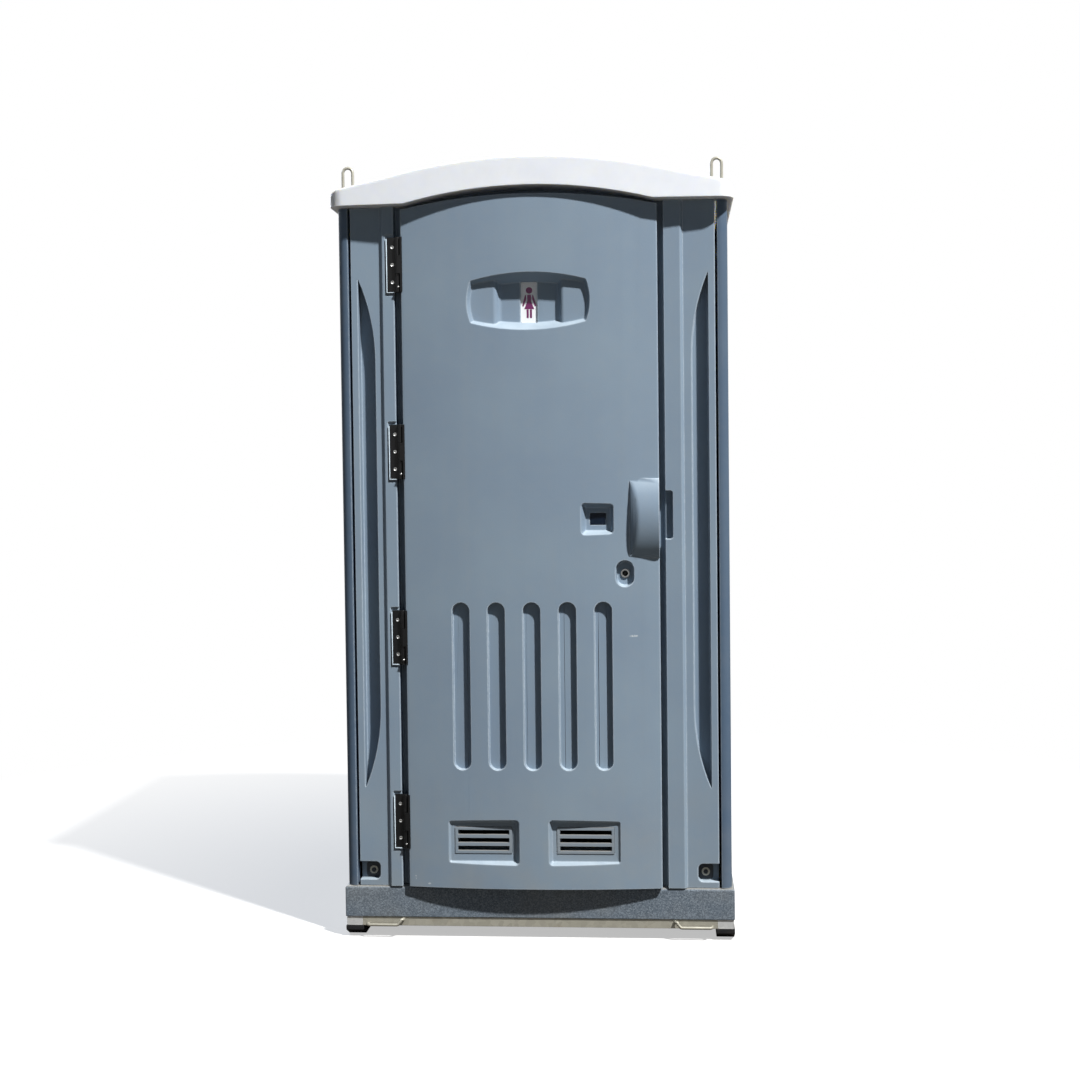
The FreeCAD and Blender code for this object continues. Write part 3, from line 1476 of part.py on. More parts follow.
def coat_hook():
    """A J-shaped hook on the inner skin."""
    hook = Moulding("coat_hook")
    z = deck + s.hook_rise
    wall = s.hook_wall
    reach = door_back + s.hook_reach
    half = s.hook_height / 2
    profile = [
        (door_back, z - half), (door_back + wall * 2, z - half), (reach, z - wall),
        (reach, z + half / 2), (reach - wall, z + half / 2), (reach - wall, z),
        (door_back + wall * 2, z - half + wall * 2), (door_back + wall, z - half + wall * 2),
        (door_back + wall, z + half), (door_back, z + half),
    ]
    hook.pad("YZ", profile, door_middle - s.hook_width / 2, door_middle + s.hook_width / 2)


# Tank, seat and vent pipe

tank_back = place("tank_back", back_face - s.sheet_wall - s.bead_depth - s.tank_gap)
tank_front = place("tank_front", tank_back - s.tank_depth)
tank_top = place("tank_top", deck + s.tank_height)
plinth_top = place("plinth_top", tank_top + s.plinth_height)
tank_half = place("tank_half", wall_inside - s.bead_depth - s.tank_gap)
seat_y = place("seat_y", tank_front + s.seat_front + s.seat_depth / 2)
seat_pin_y = place("seat_pin_y", seat_y + s.seat_depth / 2 + s.seat_barrel)
seat_pin_z = place("seat_pin_z", plinth_top + s.seat_thickness)


def holding_tank():
    """A hollow tank with a sloped front, a raised plinth and the hole under the seat."""
    tank = Moulding("holding_tank")
    wall = s.tank_wall
    profile = [
        (tank_front + s.tank_slope, deck), (tank_back, deck), (tank_back, tank_top), (tank_front, tank_top)
    ]
    tank.pad("YZ", profile, -tank_half, tank_half)
    plinth = rectangle(
        span(ZERO, s.plinth_width / 2), (tank_front, seat_pin_y + s.seat_barrel * 2)
    )
    tank.pad("XY", plinth, tank_top, plinth_top)
    hollow = [
        (tank_front + s.tank_slope + wall, deck + wall), (tank_back - wall, deck + wall),
        (tank_back - wall, tank_top - wall), (tank_front + wall, tank_top - wall),
    ]
    tank.pocket("YZ", hollow, wall - tank_half, tank_half - wall)
    half_u, half_v = s.hole_width / 2, s.hole_depth / 2
    hole = oval(ZERO, seat_y, half_u, half_v)
    tank.pocket("XY", hole, tank_top - wall * 2, plinth_top)
    pipe = disc(s.pipe_offset, pipe_y, s.pipe_radius - s.pipe_wall)
    tank.pocket("XY", pipe, tank_top - wall * 2, tank_top)
    for side in (-1, 1):
        inner = side * (post_inner() + s.seat_gap)
        across = ordered(inner, inner + side * s.seat_post)
        post = rectangle(span(seat_pin_y, s.seat_barrel), (plinth_top, seat_pin_z + s.seat_barrel))
        tank.pad("YZ", post, *across)
        socket = rectangle(span(seat_pin_y, s.seat_pin_radius), span(seat_pin_z, s.seat_pin_radius))
        tank.pocket("YZ", socket, *across)


def post_inner():
    return s.ring_barrel / 2 + s.seat_gap + s.lid_barrel


def seat_parts():
    """Ring and lid, both on the pin behind the seat."""
    half_u, half_v = s.seat_width / 2, s.seat_depth / 2
    low = plinth_top + s.seat_gap
    high = low + s.seat_thickness
    pin_half = post_inner() + s.seat_gap + s.seat_post
    axis = (seat_pin_y, seat_pin_z)
    keep("seat_hinge_pin", rod("X", axis, span(ZERO, pin_half), s.seat_pin_radius))
    bore = rod("X", axis, span(ZERO, pin_half), s.seat_pin_radius + s.seat_pin_play)
    outline = oval(ZERO, seat_y, half_u, half_v)
    opening = oval(ZERO, seat_y, s.seat_opening_width / 2, s.seat_opening_depth / 2)
    ring = prism("XY", [outline, opening], low, high)
    middle = span(ZERO, s.ring_barrel / 2)
    arm = box(middle, (seat_pin_y - s.seat_arm, seat_pin_y), (high - s.seat_thickness / 2, high))
    barrel = faceted("X", axis, middle, s.seat_barrel)
    keep("seat_ring", cut(fuse(ring, arm, barrel), bore))
    low = high + s.lid_gap
    high = low + s.lid_thickness
    parts = [prism("XY", outline, low, high)]
    for side in (-1, 1):
        inner = side * (s.ring_barrel / 2 + s.seat_gap)
        across = ordered(inner, inner + side * s.lid_barrel)
        parts.append(box(across, (seat_pin_y - s.seat_arm, seat_pin_y), (low, high - s.lid_gap)))
        parts.append(faceted("X", axis, across, s.seat_barrel))
    keep("seat_lid", cut(fuse(*parts), bore))


def vent_pipe():
    """The pipe from the tank through the roof, and the cap that stands on it on four legs."""
    centre = (s.pipe_offset, pipe_y)
    wall = s.pipe_wall
    outer = rod("Z", centre, (tank_top, s.pipe_top), s.pipe_radius)
    inner = rod("Z", centre, (tank_top, s.pipe_top), s.pipe_radius - wall)
    keep("vent_pipe", cut(outer, inner))
    low, top = s.pipe_top - s.cap_drop, s.pipe_top + s.cap_rise
    cap = cut(
        faceted("Z", centre, (low, top + wall), s.cap_radius, OVAL_SIDES),
        faceted("Z", centre, (low, top), s.cap_radius - wall, OVAL_SIDES),
    )
    legs = []
    for x, y in ((1, 0), (0, 1), (-1, 0), (0, -1)):
        across = (s.pipe_radius - wall, s.cap_radius - wall)
        if x:
            spot = ordered(s.pipe_offset + x * across[0], s.pipe_offset + x * across[1])
            legs.append(box(spot, span(pipe_y, s.cap_leg / 2), (s.pipe_top, top)))
        else:
            spot = ordered(pipe_y + y * across[0], pipe_y + y * across[1])
            legs.append(box(span(s.pipe_offset, s.cap_leg / 2), spot, (s.pipe_top, top)))
    keep("vent_cap", fuse(cap, *legs))


def paper():
    """A holder on the right wall, between two beads, and the roll on it."""
    y = (base_front + base_back) / 2 + s.bead_pitch / 2
    z = deck + s.paper_rise
    near_x = wall_inside - s.paper_stand
    far_x = near_x - s.paper_width
    plate = box((near_x, wall_inside), span(y, s.paper_flange), span(z, s.paper_flange))
    spool = faceted("X", (y, z), (far_x - s.paper_stand, near_x), s.paper_core - s.paper_play)
    keep("paper_holder", fuse(plate, spool))
    low, high = far_x, near_x - s.seat_gap
    roll = cut(
        faceted("X", (y, z), (low, high), s.paper_radius, OVAL_SIDES),
        rod("X", (y, z), (low, high), s.paper_core),
    )
    keep("paper_roll", roll)


for label, side in (("left", -1), ("right", 1)):
    skid_runner("skid_runner_" + label, side)
frame()
for label, side in (("left", -1), ("right", 1)):
    tie_loop("tie_loop_front_" + label, side, rail_front, -1)
    tie_loop("tie_loop_rear_" + label, side, rail_back, 1)
floor_pan()
columns()
door_header()
for label, side in (("left", -1), ("right", 1)):
    side_wall("side_wall_" + label, side)
    lifting_eye("lifting_eye_front_" + label, side, lift_front_y)
    lifting_eye("lifting_eye_rear_" + label, side, lift_rear_y)
back_wall()
roof()
door_outer_skin()
door_inner_skin()
for label, side in (("left", -1), ("right", 1)):
    door_vent("door_vent_" + label, side)
sign_plate()
hinges()
lock_case()
latch_bolt()
lock_knob()
indicator()
strike_plate()
key_cylinder()
coat_hook()
holding_tank()
seat_parts()
vent_pipe()
paper()


def faults():
    """Every feature or piece that did not come out whole."""
    found = []
    for feature in doc.Objects:
        if {"Invalid", "Error"} & set(feature.State):
            found.append("%s: %s" % (feature.Label, ", ".join(feature.State)))
    for piece in pieces:
        if piece.Shape.isNull() or not piece.Shape.isValid():
            found.append("%s: shape is not valid" % piece.Label)
    return found


doc.recompute()
problems = faults()
if problems:
    sys.exit("\n".join(problems))
os.makedirs("parts", exist_ok=True)
for piece in pieces:
    piece.Shape.exportStep(os.path.join("parts", piece.Label + ".step"))
print(len(pieces), "pieces")
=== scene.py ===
import json
import math

import bmesh
import bpy
from mathutils import Matrix, Vector


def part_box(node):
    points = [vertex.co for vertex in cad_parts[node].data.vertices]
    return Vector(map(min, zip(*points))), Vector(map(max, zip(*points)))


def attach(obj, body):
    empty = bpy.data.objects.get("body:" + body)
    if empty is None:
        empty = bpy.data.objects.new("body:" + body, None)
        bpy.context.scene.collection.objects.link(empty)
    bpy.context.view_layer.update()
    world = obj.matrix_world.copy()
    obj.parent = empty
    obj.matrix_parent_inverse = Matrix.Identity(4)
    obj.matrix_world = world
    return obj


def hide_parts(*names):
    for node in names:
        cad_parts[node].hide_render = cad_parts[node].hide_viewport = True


# The looks of a portable toilet cabin: moulded polyethylene walls, a bowed door, a white
# roof and a galvanised skid. X is to the right, Y to the back, Z up, all in metres.

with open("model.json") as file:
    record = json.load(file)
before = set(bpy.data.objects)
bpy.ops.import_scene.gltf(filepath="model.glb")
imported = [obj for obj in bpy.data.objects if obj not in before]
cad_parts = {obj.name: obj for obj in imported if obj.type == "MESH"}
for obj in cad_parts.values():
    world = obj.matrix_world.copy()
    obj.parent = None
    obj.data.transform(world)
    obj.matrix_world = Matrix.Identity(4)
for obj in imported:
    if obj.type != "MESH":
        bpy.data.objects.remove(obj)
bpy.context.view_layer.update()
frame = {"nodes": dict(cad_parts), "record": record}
nodes = frame["nodes"]
MM = 0.001


# Colours and nodes


def linear(hex_colour):
    """An sRGB hex colour as linear RGBA."""
    parts = [int(hex_colour[i:i + 2], 16) / 255 for i in (1, 3, 5)]
    return tuple(c / 12.92 if c <= 0.04045 else ((c + 0.055) / 1.055) ** 2.4 for c in parts) + (1,)


def add(tree, kind, links=(), **settings):
    """A node with its settings; links are (source socket, name or number of the input)."""
    node = tree.nodes.new(kind)
    for name, value in settings.items():
        if name in node.inputs:
            node.inputs[name].default_value = value
        else:
            setattr(node, name, value)
    for source, target in links:
        tree.links.new(source, node.inputs[target])
    return node


def new_material(name):
    """An empty material with its shader, its node tree and the place on the object."""
    material = bpy.data.materials.new(name)
    material.use_nodes = True
    tree = material.node_tree
    shader = tree.nodes["Principled BSDF"]
    place = add(tree, "ShaderNodeTexCoord").outputs["Object"]
    return material, tree, shader, place


def noise(tree, place, size_mm, detail=3.0, stretch=(1, 1, 1)):
    """Noise whose blotches are about size_mm across."""
    if stretch != (1, 1, 1):
        place = add(tree, "ShaderNodeMapping", [(place, "Vector")]).outputs["Vector"]
        place.node.inputs["Scale"].default_value = stretch
    return add(tree, "ShaderNodeTexNoise", [(place, "Vector")], Scale=1 / (size_mm * MM),
               Detail=detail).outputs["Fac"]


def ramp(tree, value, low, high, to_low=0.0, to_high=1.0):
    """A value's span from low to high stretched to another span, and kept inside it."""
    node = add(tree, "ShaderNodeMapRange", [(value, "Value")])
    for name, number in (("From Min", low), ("From Max", high), ("To Min", to_low),
                         ("To Max", to_high)):
        node.inputs[name].default_value = number
    return node.outputs["Result"]


def math_node(tree, operation, first, second):
    """One sum on two values; a value is a socket or a number."""
    node = add(tree, "ShaderNodeMath", operation=operation)
    for number, value in enumerate((first, second)):
        if isinstance(value, (int, float)):
            node.inputs[number].default_value = value
        else:
            tree.links.new(value, node.inputs[number])
    return node.outputs["Value"]


def mix(tree, amount, first, second):
    """Two colours mixed by an amount; a colour is a socket or a hex value."""
    node = add(tree, "ShaderNodeMix", data_type="RGBA")
    if isinstance(amount, (int, float)):
        node.inputs[0].default_value = amount
    else:
        tree.links.new(amount, node.inputs[0])
    for number, colour in ((6, first), (7, second)):
        if isinstance(colour, str):
            node.inputs[number].default_value = linear(colour)
        else:
            tree.links.new(colour, node.inputs[number])
    return node.outputs[2]


def bump(tree, shader, height, depth_mm):
    """A fine relief of a given depth on a shader."""
    node = add(tree, "ShaderNodeBump", [(height, "Height")], Strength=1.0,
               Distance=depth_mm * MM)
    tree.links.new(node.outputs["Normal"], shader.inputs["Normal"])


def height_above_ground(tree, place):
    """How high a place is, in metres."""
    return add(tree, "ShaderNodeSeparateXYZ", [(place, 0)]).outputs["Z"]


# Materials

# pale colours on blue-grey polyethylene: edges paled by rubbing and by a painted highlight on the
# rims, and scrapes
RUBBED_AND_LIT_EDGE = "#D3DEE6"
SCRAPED = "#C9D0D4"


def edge_mask(tree, radius_mm):
    """How much of an outer edge is here: 0 on flat walls, 1 on a rounded corner."""
    true = add(tree, "ShaderNodeNewGeometry").outputs["Normal"]
    soft = add(tree, "ShaderNodeBevel", samples=4).outputs["Normal"]
    soft.node.inputs["Radius"].default_value = radius_mm * MM
    same = add(tree, "ShaderNodeVectorMath", [(true, 0), (soft, 1)], operation="DOT_PRODUCT")
    return ramp(tree, same.outputs["Value"], 0.995, 0.9)


def facing_up(tree):
    """How far a surface faces the sky, where dust settles and where some materials paint their
    tops lighter or darker as painted light and shade.
    """
    normal = add(tree, "ShaderNodeNewGeometry").outputs["Normal"]
    return add(tree, "ShaderNodeSeparateXYZ", [(normal, 0)]).outputs["Z"]


def scuff(tree, place, spot, reach_mm):
    """A short ragged scrape round a spot; its reach is along X and Z."""
    off = add(tree, "ShaderNodeVectorMath", [(place, 0)], operation="SUBTRACT")
    off.inputs[1].default_value = spot
    wide = add(tree, "ShaderNodeVectorMath", [(off.outputs[0], 0)], operation="MULTIPLY")
    wide.inputs[1].default_value = (1 / (reach_mm[0] * MM), 0, 1 / (reach_mm[1] * MM))
    length = add(tree, "ShaderNodeVectorMath", [(wide.outputs[0], 0)], operation="LENGTH")
    near = ramp(tree, length.outputs["Value"], 1.0, 0.5)
    return math_node(tree, "MULTIPLY", near, ramp(tree, noise(tree, place, 3.0, 4.0), 0.42, 0.6))


def moulded_polyethylene(name, colour, faded, dusty, roughness, peel_mm=0.16, dust_top=0.55,
                         ledge_dust_and_painted_light=0.0, painted_top_colour=None, edge_wear_and_highlight=0.0, sheen=0.5,
                         translucent=0.0, scuffs=()):
    """Moulded polyethylene: waxy and even, with a fine peel from the mould, faded patches,
    faint upright rain marks and dust near the ground. Its paler edges are rubbing and a painted
    highlight together. Its upward faces take dust, or a painted top colour where one is given:
    painted light on the blue-grey plastic, painted shade on the roof."""
    material, tree, shader, place = new_material(name)
    patches = ramp(tree, noise(tree, place, 260, 3.0), 0.35, 0.7)
    base = mix(tree, patches, colour, faded)
    mottle = ramp(tree, noise(tree, place, 22, 4.0), 0.45, 0.8, 0.0, 0.08)
    base = mix(tree, mottle, base, dusty)
    rain = ramp(tree, noise(tree, place, 34, 4.0, (1, 1, 0.05)), 0.55, 0.8, 0.0, 0.07)
    base = mix(tree, rain, base, dusty)
    low = ramp(tree, height_above_ground(tree, place), 0.1, dust_top, 0.4, 0.0)
    grime = math_node(tree, "MULTIPLY", low, ramp(tree, noise(tree, place, 90, 5.0), 0.3, 0.75))
    base = mix(tree, grime, base, dusty)
    # upward faces: dust, and where a painted top colour is given, that colour as the painted light
    # or shade of the tops
    if ledge_dust_and_painted_light:
        dust_and_light_on_tops = ramp(tree, facing_up(tree), 0.35, 0.85, 0.0, ledge_dust_and_painted_light)
        uneven = ramp(tree, noise(tree, place, 70, 5.0), 0.3, 0.65, ledge_dust_and_painted_light * 0.9, 1.0)
        base = mix(tree, math_node(tree, "MULTIPLY", dust_and_light_on_tops, uneven), base,
                   painted_top_colour or dusty)
    # paler edges: rubbing and a painted highlight on the rims together
    if edge_wear_and_highlight:
        pale_rims = math_node(tree, "MULTIPLY", edge_mask(tree, 5.0),
                           ramp(tree, noise(tree, place, 12, 4.0), 0.3, 0.6, 0.5, 1.0))
        base = mix(tree, math_node(tree, "MULTIPLY", pale_rims, edge_wear_and_highlight), base, RUBBED_AND_LIT_EDGE)
    for spot, reach_mm in scuffs:
        base = mix(tree, scuff(tree, place, spot, reach_mm), base, SCRAPED)
    tree.links.new(base, shader.inputs["Base Color"])
    gloss = ramp(tree, noise(tree, place, 35, 4.0), 0.3, 0.7, roughness - 0.05, roughness + 0.07)
    tree.links.new(gloss, shader.inputs["Roughness"])
    shader.inputs["IOR"].default_value = 1.51
    shader.inputs["Specular IOR Level"].default_value = sheen
    if translucent:
        shader.inputs["Subsurface Weight"].default_value = translucent
        shader.inputs["Subsurface Radius"].default_value = (1.0, 0.9, 0.7)
        shader.inputs["Subsurface Scale"].default_value = 14 * MM
    # the real peel is about 1.5 mm across; it is drawn at 3 mm so that it shows
    bump(tree, shader, noise(tree, place, 3.0, 2.0), peel_mm)
    return material


def granite_polyethylene(name, colour, dark, light):
    """Recycled polyethylene with granite-like specks, 2 to 4 mm across, under a dull skin."""
    material, tree, shader, place = new_material(name)
    cells = add(tree, "ShaderNodeTexVoronoi", [(place, "Vector")], Scale=1 / (2.8 * MM))
    shade = add(tree, "ShaderNodeSeparateColor", [(cells.outputs["Color"], 0)]).outputs["Red"]
    base = mix(tree, ramp(tree, shade, 0.66, 0.78), colour, light)
    base = mix(tree, ramp(tree, shade, 0.30, 0.20), base, dark)
    dust = ramp(tree, noise(tree, place, 160, 4.0), 0.45, 0.75, 0.0, 0.25)
    base = mix(tree, dust, base, "#83817B")
    ledge = ramp(tree, facing_up(tree), 0.5, 0.9, 0.0, 0.55)
    base = mix(tree, ledge, base, "#8F8A80")
    # paler edges: partly rubbing, partly a painted highlight on the base's rims
    base = mix(tree, math_node(tree, "MULTIPLY", edge_mask(tree, 3.0), 0.35), base, "#A9B0B6")
    tree.links.new(base, shader.inputs["Base Color"])
    shader.inputs["Roughness"].default_value = 0.6
    shader.inputs["Specular IOR Level"].default_value = 0.35
    bump(tree, shader, noise(tree, place, 3.5, 3.0), 0.22)
    return material


def galvanised_steel(name, bright, dull, stained=0.35):
    """Hot-dip zinc gone dull outdoors: a grey oxide skin over spangles about 14 mm across
    that differ in shade, with faint brown stains."""
    material, tree, shader, place = new_material(name)
    cells = add(tree, "ShaderNodeTexVoronoi", [(place, "Vector")], Scale=1 / (14 * MM))
    shade = add(tree, "ShaderNodeSeparateColor", [(cells.outputs["Color"], 0)]).outputs["Green"]
    base = mix(tree, shade, bright, dull)
    cloud = ramp(tree, noise(tree, place, 120, 4.0), 0.4, 0.7, 0.0, 0.6)
    base = mix(tree, cloud, base, dull)
    stain = ramp(tree, noise(tree, place, 55, 5.0), 0.6, 0.78, 0.0, stained)
    base = mix(tree, stain, base, "#8D7C66")
    tree.links.new(base, shader.inputs["Base Color"])
    shader.inputs["Metallic"].default_value = 0.35
    tree.links.new(ramp(tree, shade, 0.0, 1.0, 0.45, 0.6), shader.inputs["Roughness"])
    bump(tree, shader, noise(tree, place, 6.0, 3.0), 0.1)
    return material


def plated_metal(name, colour, roughness):
    """Zinc-plated or drawn metal: even and bright, with short scratches along X."""
    material, tree, shader, place = new_material(name)
    scratches = noise(tree, place, 1.6, 4.0, (0.05, 1, 1))
    tree.links.new(mix(tree, ramp(tree, scratches, 0.3, 0.8), colour, "#8E9092"),
                   shader.inputs["Base Color"])
    shader.inputs["Metallic"].default_value = 1.0
    tree.links.new(ramp(tree, scratches, 0.2, 0.8, roughness - 0.08, roughness + 0.1),
                   shader.inputs["Roughness"])
    bump(tree, shader, scratches, 0.02)
    return material


def powder_coat(name, colour, worn, roughness):
    """Powder-coated steel: a hard skin with orange peel about 2 mm across, dusty in patches."""
    material, tree, shader, place = new_material(name)
    dust = ramp(tree, noise(tree, place, 25, 5.0), 0.6, 0.85, 0.0, 0.3)
    tree.links.new(mix(tree, dust, colour, worn), shader.inputs["Base Color"])
    tree.links.new(ramp(tree, dust, 0.0, 0.5, roughness, roughness + 0.25),
                   shader.inputs["Roughness"])
    shader.inputs["Specular IOR Level"].default_value = 0.25
    bump(tree, shader, noise(tree, place, 2.2, 2.0), 0.08)
    return material


def smoked_polycarbonate(name):
    """A dark tinted pane, hard and glossy, with fine haze, dust and a paler rim."""
    material, tree, shader, place = new_material(name)
    haze = ramp(tree, noise(tree, place, 9, 5.0), 0.45, 0.85, 0.0, 0.25)
    base = mix(tree, haze, "#0E1826", "#263343")
    pale_rims = math_node(tree, "MULTIPLY", edge_mask(tree, 1.2), 0.6)
    tree.links.new(mix(tree, pale_rims, base, "#9FB0BE"), shader.inputs["Base Color"])
    tree.links.new(ramp(tree, haze, 0.0, 0.25, 0.3, 0.5), shader.inputs["Roughness"])
    shader.inputs["IOR"].default_value = 1.58
    shader.inputs["Specular IOR Level"].default_value = 0.1
    return material


def tissue(name):
    """Soft tissue with fine crepe lines round the roll."""
    material, tree, shader, place = new_material(name)
    crepe = noise(tree, place, 2.5, 4.0, (0.25, 1, 1))
    tree.links.new(mix(tree, crepe, "#F1F0EC", "#DAD8D2"), shader.inputs["Base Color"])
    shader.inputs["Roughness"].default_value = 0.95
    bump(tree, shader, crepe, 0.3)
    return material


# pale scrapes on the door: where they are, and their reach along X and Z in millimetres
SCUFFS = (((0.281, 0, 0.874), (15, 3.5)), ((-0.350, 0, 0.182), (3, 9)),
          ((-0.31, 0, 0.165), (5, 3)))

materials = {
    # blue-grey plastic: its paler tops are a painted highlight, its paler edges rubbing and a
    # painted highlight together
    "column_plastic": moulded_polyethylene(
        "blue_grey_moulded_polyethylene", "#77889A", "#7D8E9E", "#91928D", 0.48,
        edge_wear_and_highlight=0.6, sheen=0.2, ledge_dust_and_painted_light=0.6, painted_top_colour="#AFBDC8",
        scuffs=SCUFFS),
    # its paler edges are rubbing and a painted highlight together
    "wall_plastic": moulded_polyethylene(
        "slate_moulded_polyethylene", "#485A6F", "#4F6073", "#7B7D80", 0.5,
        edge_wear_and_highlight=0.5, sheen=0.2, ledge_dust_and_painted_light=0.3),
    "inner_plastic": moulded_polyethylene(
        "light_grey_moulded_polyethylene", "#8B939A", "#969DA1", "#A3A19C", 0.5, sheen=0.3),
    "base_plastic": granite_polyethylene(
        "granite_grey_polyethylene", "#606B77", "#4F5A65", "#77828D"),
    # the grey on the roof's upward faces is painted shade, which keeps the top from burning out to
    # white
    "roof_plastic": moulded_polyethylene(
        "white_moulded_polyethylene", "#EFF4FE", "#ECF1FA", "#DFE3E8", 0.42, 0.1, 0.05,
        ledge_dust_and_painted_light=0.98, painted_top_colour="#94979A", sheen=0.4, translucent=0.9),
    "runner_plastic": moulded_polyethylene(
        "black_polyethylene_runner", "#131417", "#1C1D20", "#665F55", 0.55, 0.2, 0.05,
        sheen=0.25),
    "tank_plastic": moulded_polyethylene(
        "charcoal_polyethylene_tank", "#26282C", "#303135", "#53514D", 0.5, sheen=0.35),
    "seat_plastic": moulded_polyethylene(
        "dark_polypropylene_seat", "#2A2E31", "#32363A", "#4E5053", 0.32, 0.04),
    "pipe_plastic": moulded_polyethylene(
        "grey_polyethylene_pipe", "#9B9FA1", "#A5A8AA", "#85827C", 0.45, ledge_dust_and_painted_light=0.3),
    "hinge_paint": powder_coat("black_powder_coat", "#0C0D0F", "#2B2B2D", 0.42),
    "galvanised_steel": galvanised_steel("weathered_galvanised_steel", "#ADABA0", "#9A988D"),
    "lock_steel": plated_metal("zinc_plated_steel", "#ACAFB0", 0.3),
    "knob_plastic": moulded_polyethylene(
        "dark_glass_filled_nylon", "#121823", "#171F2C", "#2F333A", 0.42, 0.05, sheen=0.3),
    "window_plastic": smoked_polycarbonate("smoked_polycarbonate"),
    "sign_plastic": moulded_polyethylene(
        "white_acrylic_plate", "#E9ECEF", "#E2E6EA", "#C9CBCB", 0.3, 0.02, sheen=0.35),
    "paper_holder_plastic": moulded_polyethylene(
        "black_moulded_holder", "#212326", "#292B2F", "#4E5053", 0.4, 0.05),
    "tissue_paper": tissue("tissue_paper"),
}
rivet_metal = plated_metal("aluminium_rivet", "#CBCCCC", 0.26)
dark_socket = powder_coat("dark_key_socket", "#131517", "#272729", 0.5)
# brighter zinc for the side rails and their end plates: a painted highlight, beside the duller
# zinc of the front rail
galvanised_painted_highlight = galvanised_steel("galvanised_steel_painted_highlight", "#CACCCD", "#BBBDBE", stained=0.15)
# dark for the bolt heads, and for the plates of painted shade round them
black_bolt_and_shade_plate = powder_coat("blackened_bolt_and_painted_shade", "#35393F", "#626464", 0.4)
sign_film = moulded_polyethylene("plum_vinyl_film", "#621851", "#5B174C", "#805377", 0.4, 0.01)
dusty_louvre = moulded_polyethylene(
    "dusty_blue_grey_louvre", "#788796", "#7D8A96", "#938C81", 0.55, dust_top=0.5,
    ledge_dust_and_painted_light=0.7, sheen=0.2)


# CAD pieces: material, softened moulded edges and smooth shading

EDGE_RADIUS_MM = {
    "column_plastic": 2.5, "wall_plastic": 2.0, "inner_plastic": 1.0, "roof_plastic": 4.0,
    "base_plastic": 3.0, "runner_plastic": 2.0, "tank_plastic": 4.0, "seat_plastic": 3.0,
    "pipe_plastic": 1.0, "hinge_paint": 0.6, "galvanised_steel": 1.0, "lock_steel": 0.4,
    "knob_plastic": 1.0, "sign_plastic": 0.5, "paper_holder_plastic": 1.0,
    "window_plastic": 0.3,
}
# the short edges of the arcs on these would hold their rounding back
UNCLAMPED = ("column_plastic", "wall_plastic", "base_plastic")
# these shade wrongly where the triangles round their openings are joined
UNJOINED = ("door_vent", "roof")
# edges that turn by more are rounded, faces that turn by less are joined
SHARP = math.radians(35)
FLAT = math.radians(0.5)
# corners closer than this are one
WELD = 0.02 * MM


def dress_cad(node, slot_name):
    """Give a CAD piece its material and rounded, smooth-shaded edges."""
    obj = nodes[node]
    obj.data.materials.clear()
    obj.data.materials.append(materials[slot_name])
    for face in obj.data.polygons:
        face.use_smooth = True
    weld = obj.modifiers.new("Weld", "WELD")
    weld.merge_threshold = WELD
    if not node.startswith(UNJOINED):
        flat = obj.modifiers.new("Flats", "DECIMATE")
        flat.decimate_type = "DISSOLVE"
        flat.angle_limit = FLAT
    radius = EDGE_RADIUS_MM.get(slot_name, 0)
    if radius:
        edge = obj.modifiers.new("Edges", "BEVEL")
        edge.width = radius * MM
        edge.segments = 2
        edge.limit_method = "ANGLE"
        edge.angle_limit = SHARP
        edge.use_clamp_overlap = slot_name not in UNCLAMPED
        edge.miter_outer = "MITER_ARC"
    shade = obj.modifiers.new("Shade", "WEIGHTED_NORMAL")
    shade.weight = 100
    shade.keep_sharp = False


slot_of = {entry["node"]: entry["material_slot"] for entry in frame["record"]["subparts"]}
for node, slot_name in slot_of.items():
    dress_cad(node, slot_name)

# the vents take a dusty louvre plastic, the side rails the brighter zinc that is a painted
# highlight
OWN_MATERIAL = {
    "door_vent_left": dusty_louvre, "door_vent_right": dusty_louvre,
    "frame_rail_left": galvanised_painted_highlight, "frame_rail_right": galvanised_painted_highlight,
}
for node, material in OWN_MATERIAL.items():
    nodes[node].data.materials[0] = material


# Pieces of the scene: how they are made


def linked(name, data):
    """An object in the scene for a mesh, curve, lamp or camera."""
    obj = bpy.data.objects.new(name, data)
    bpy.context.scene.collection.objects.link(obj)
    return obj


def placed(name, mesh, material, body, smooth):
    """An object for a mesh, with its material; it rides on a body."""
    mesh.materials.clear()
    mesh.materials.append(material)
    for face in mesh.polygons:
        face.use_smooth = smooth
    obj = linked(name, mesh)
    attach(obj, body)
    return obj


def piece(name, mesh_maker, material, body, smooth=True):
    """A piece made by a function that fills a bmesh."""
    mesh = bpy.data.meshes.new(name)
    grid = bmesh.new()
    mesh_maker(grid)
    grid.normal_update()
    grid.to_mesh(mesh)
    grid.free()
    return placed(name, mesh, material, body, smooth)


def bar(name, points, radius, node, body, material):
    """A round bent bar that stands for a CAD bar: a tube along a smooth line."""
    curve = bpy.data.curves.new(name, "CURVE")
    curve.dimensions = "3D"
    curve.bevel_depth = radius
    curve.bevel_resolution = 5
    curve.use_fill_caps = True
    line = curve.splines.new("POLY")
    line.points.add(len(points) - 1)
    for point, place in zip(line.points, points):
        point.co = (*place, 1)
    rough = linked(name + "_line", curve)
    mesh = bpy.data.meshes.new_from_object(rough)
    bpy.data.objects.remove(rough)
    mesh.name = name
    obj = placed(name, mesh, material, body, True)
    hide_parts(node)


def arc(centre, radius, start, end, across, up, steps):
    """Points on an arc in the plane of two directions, from one angle to another."""
    found = []
    for number in range(steps + 1):
        angle = math.radians(start + (end - start) * number / steps)
        found.append(Vector(centre) + Vector(across) * radius * math.cos(angle)
                     + Vector(up) * radius * math.sin(angle))
    return found


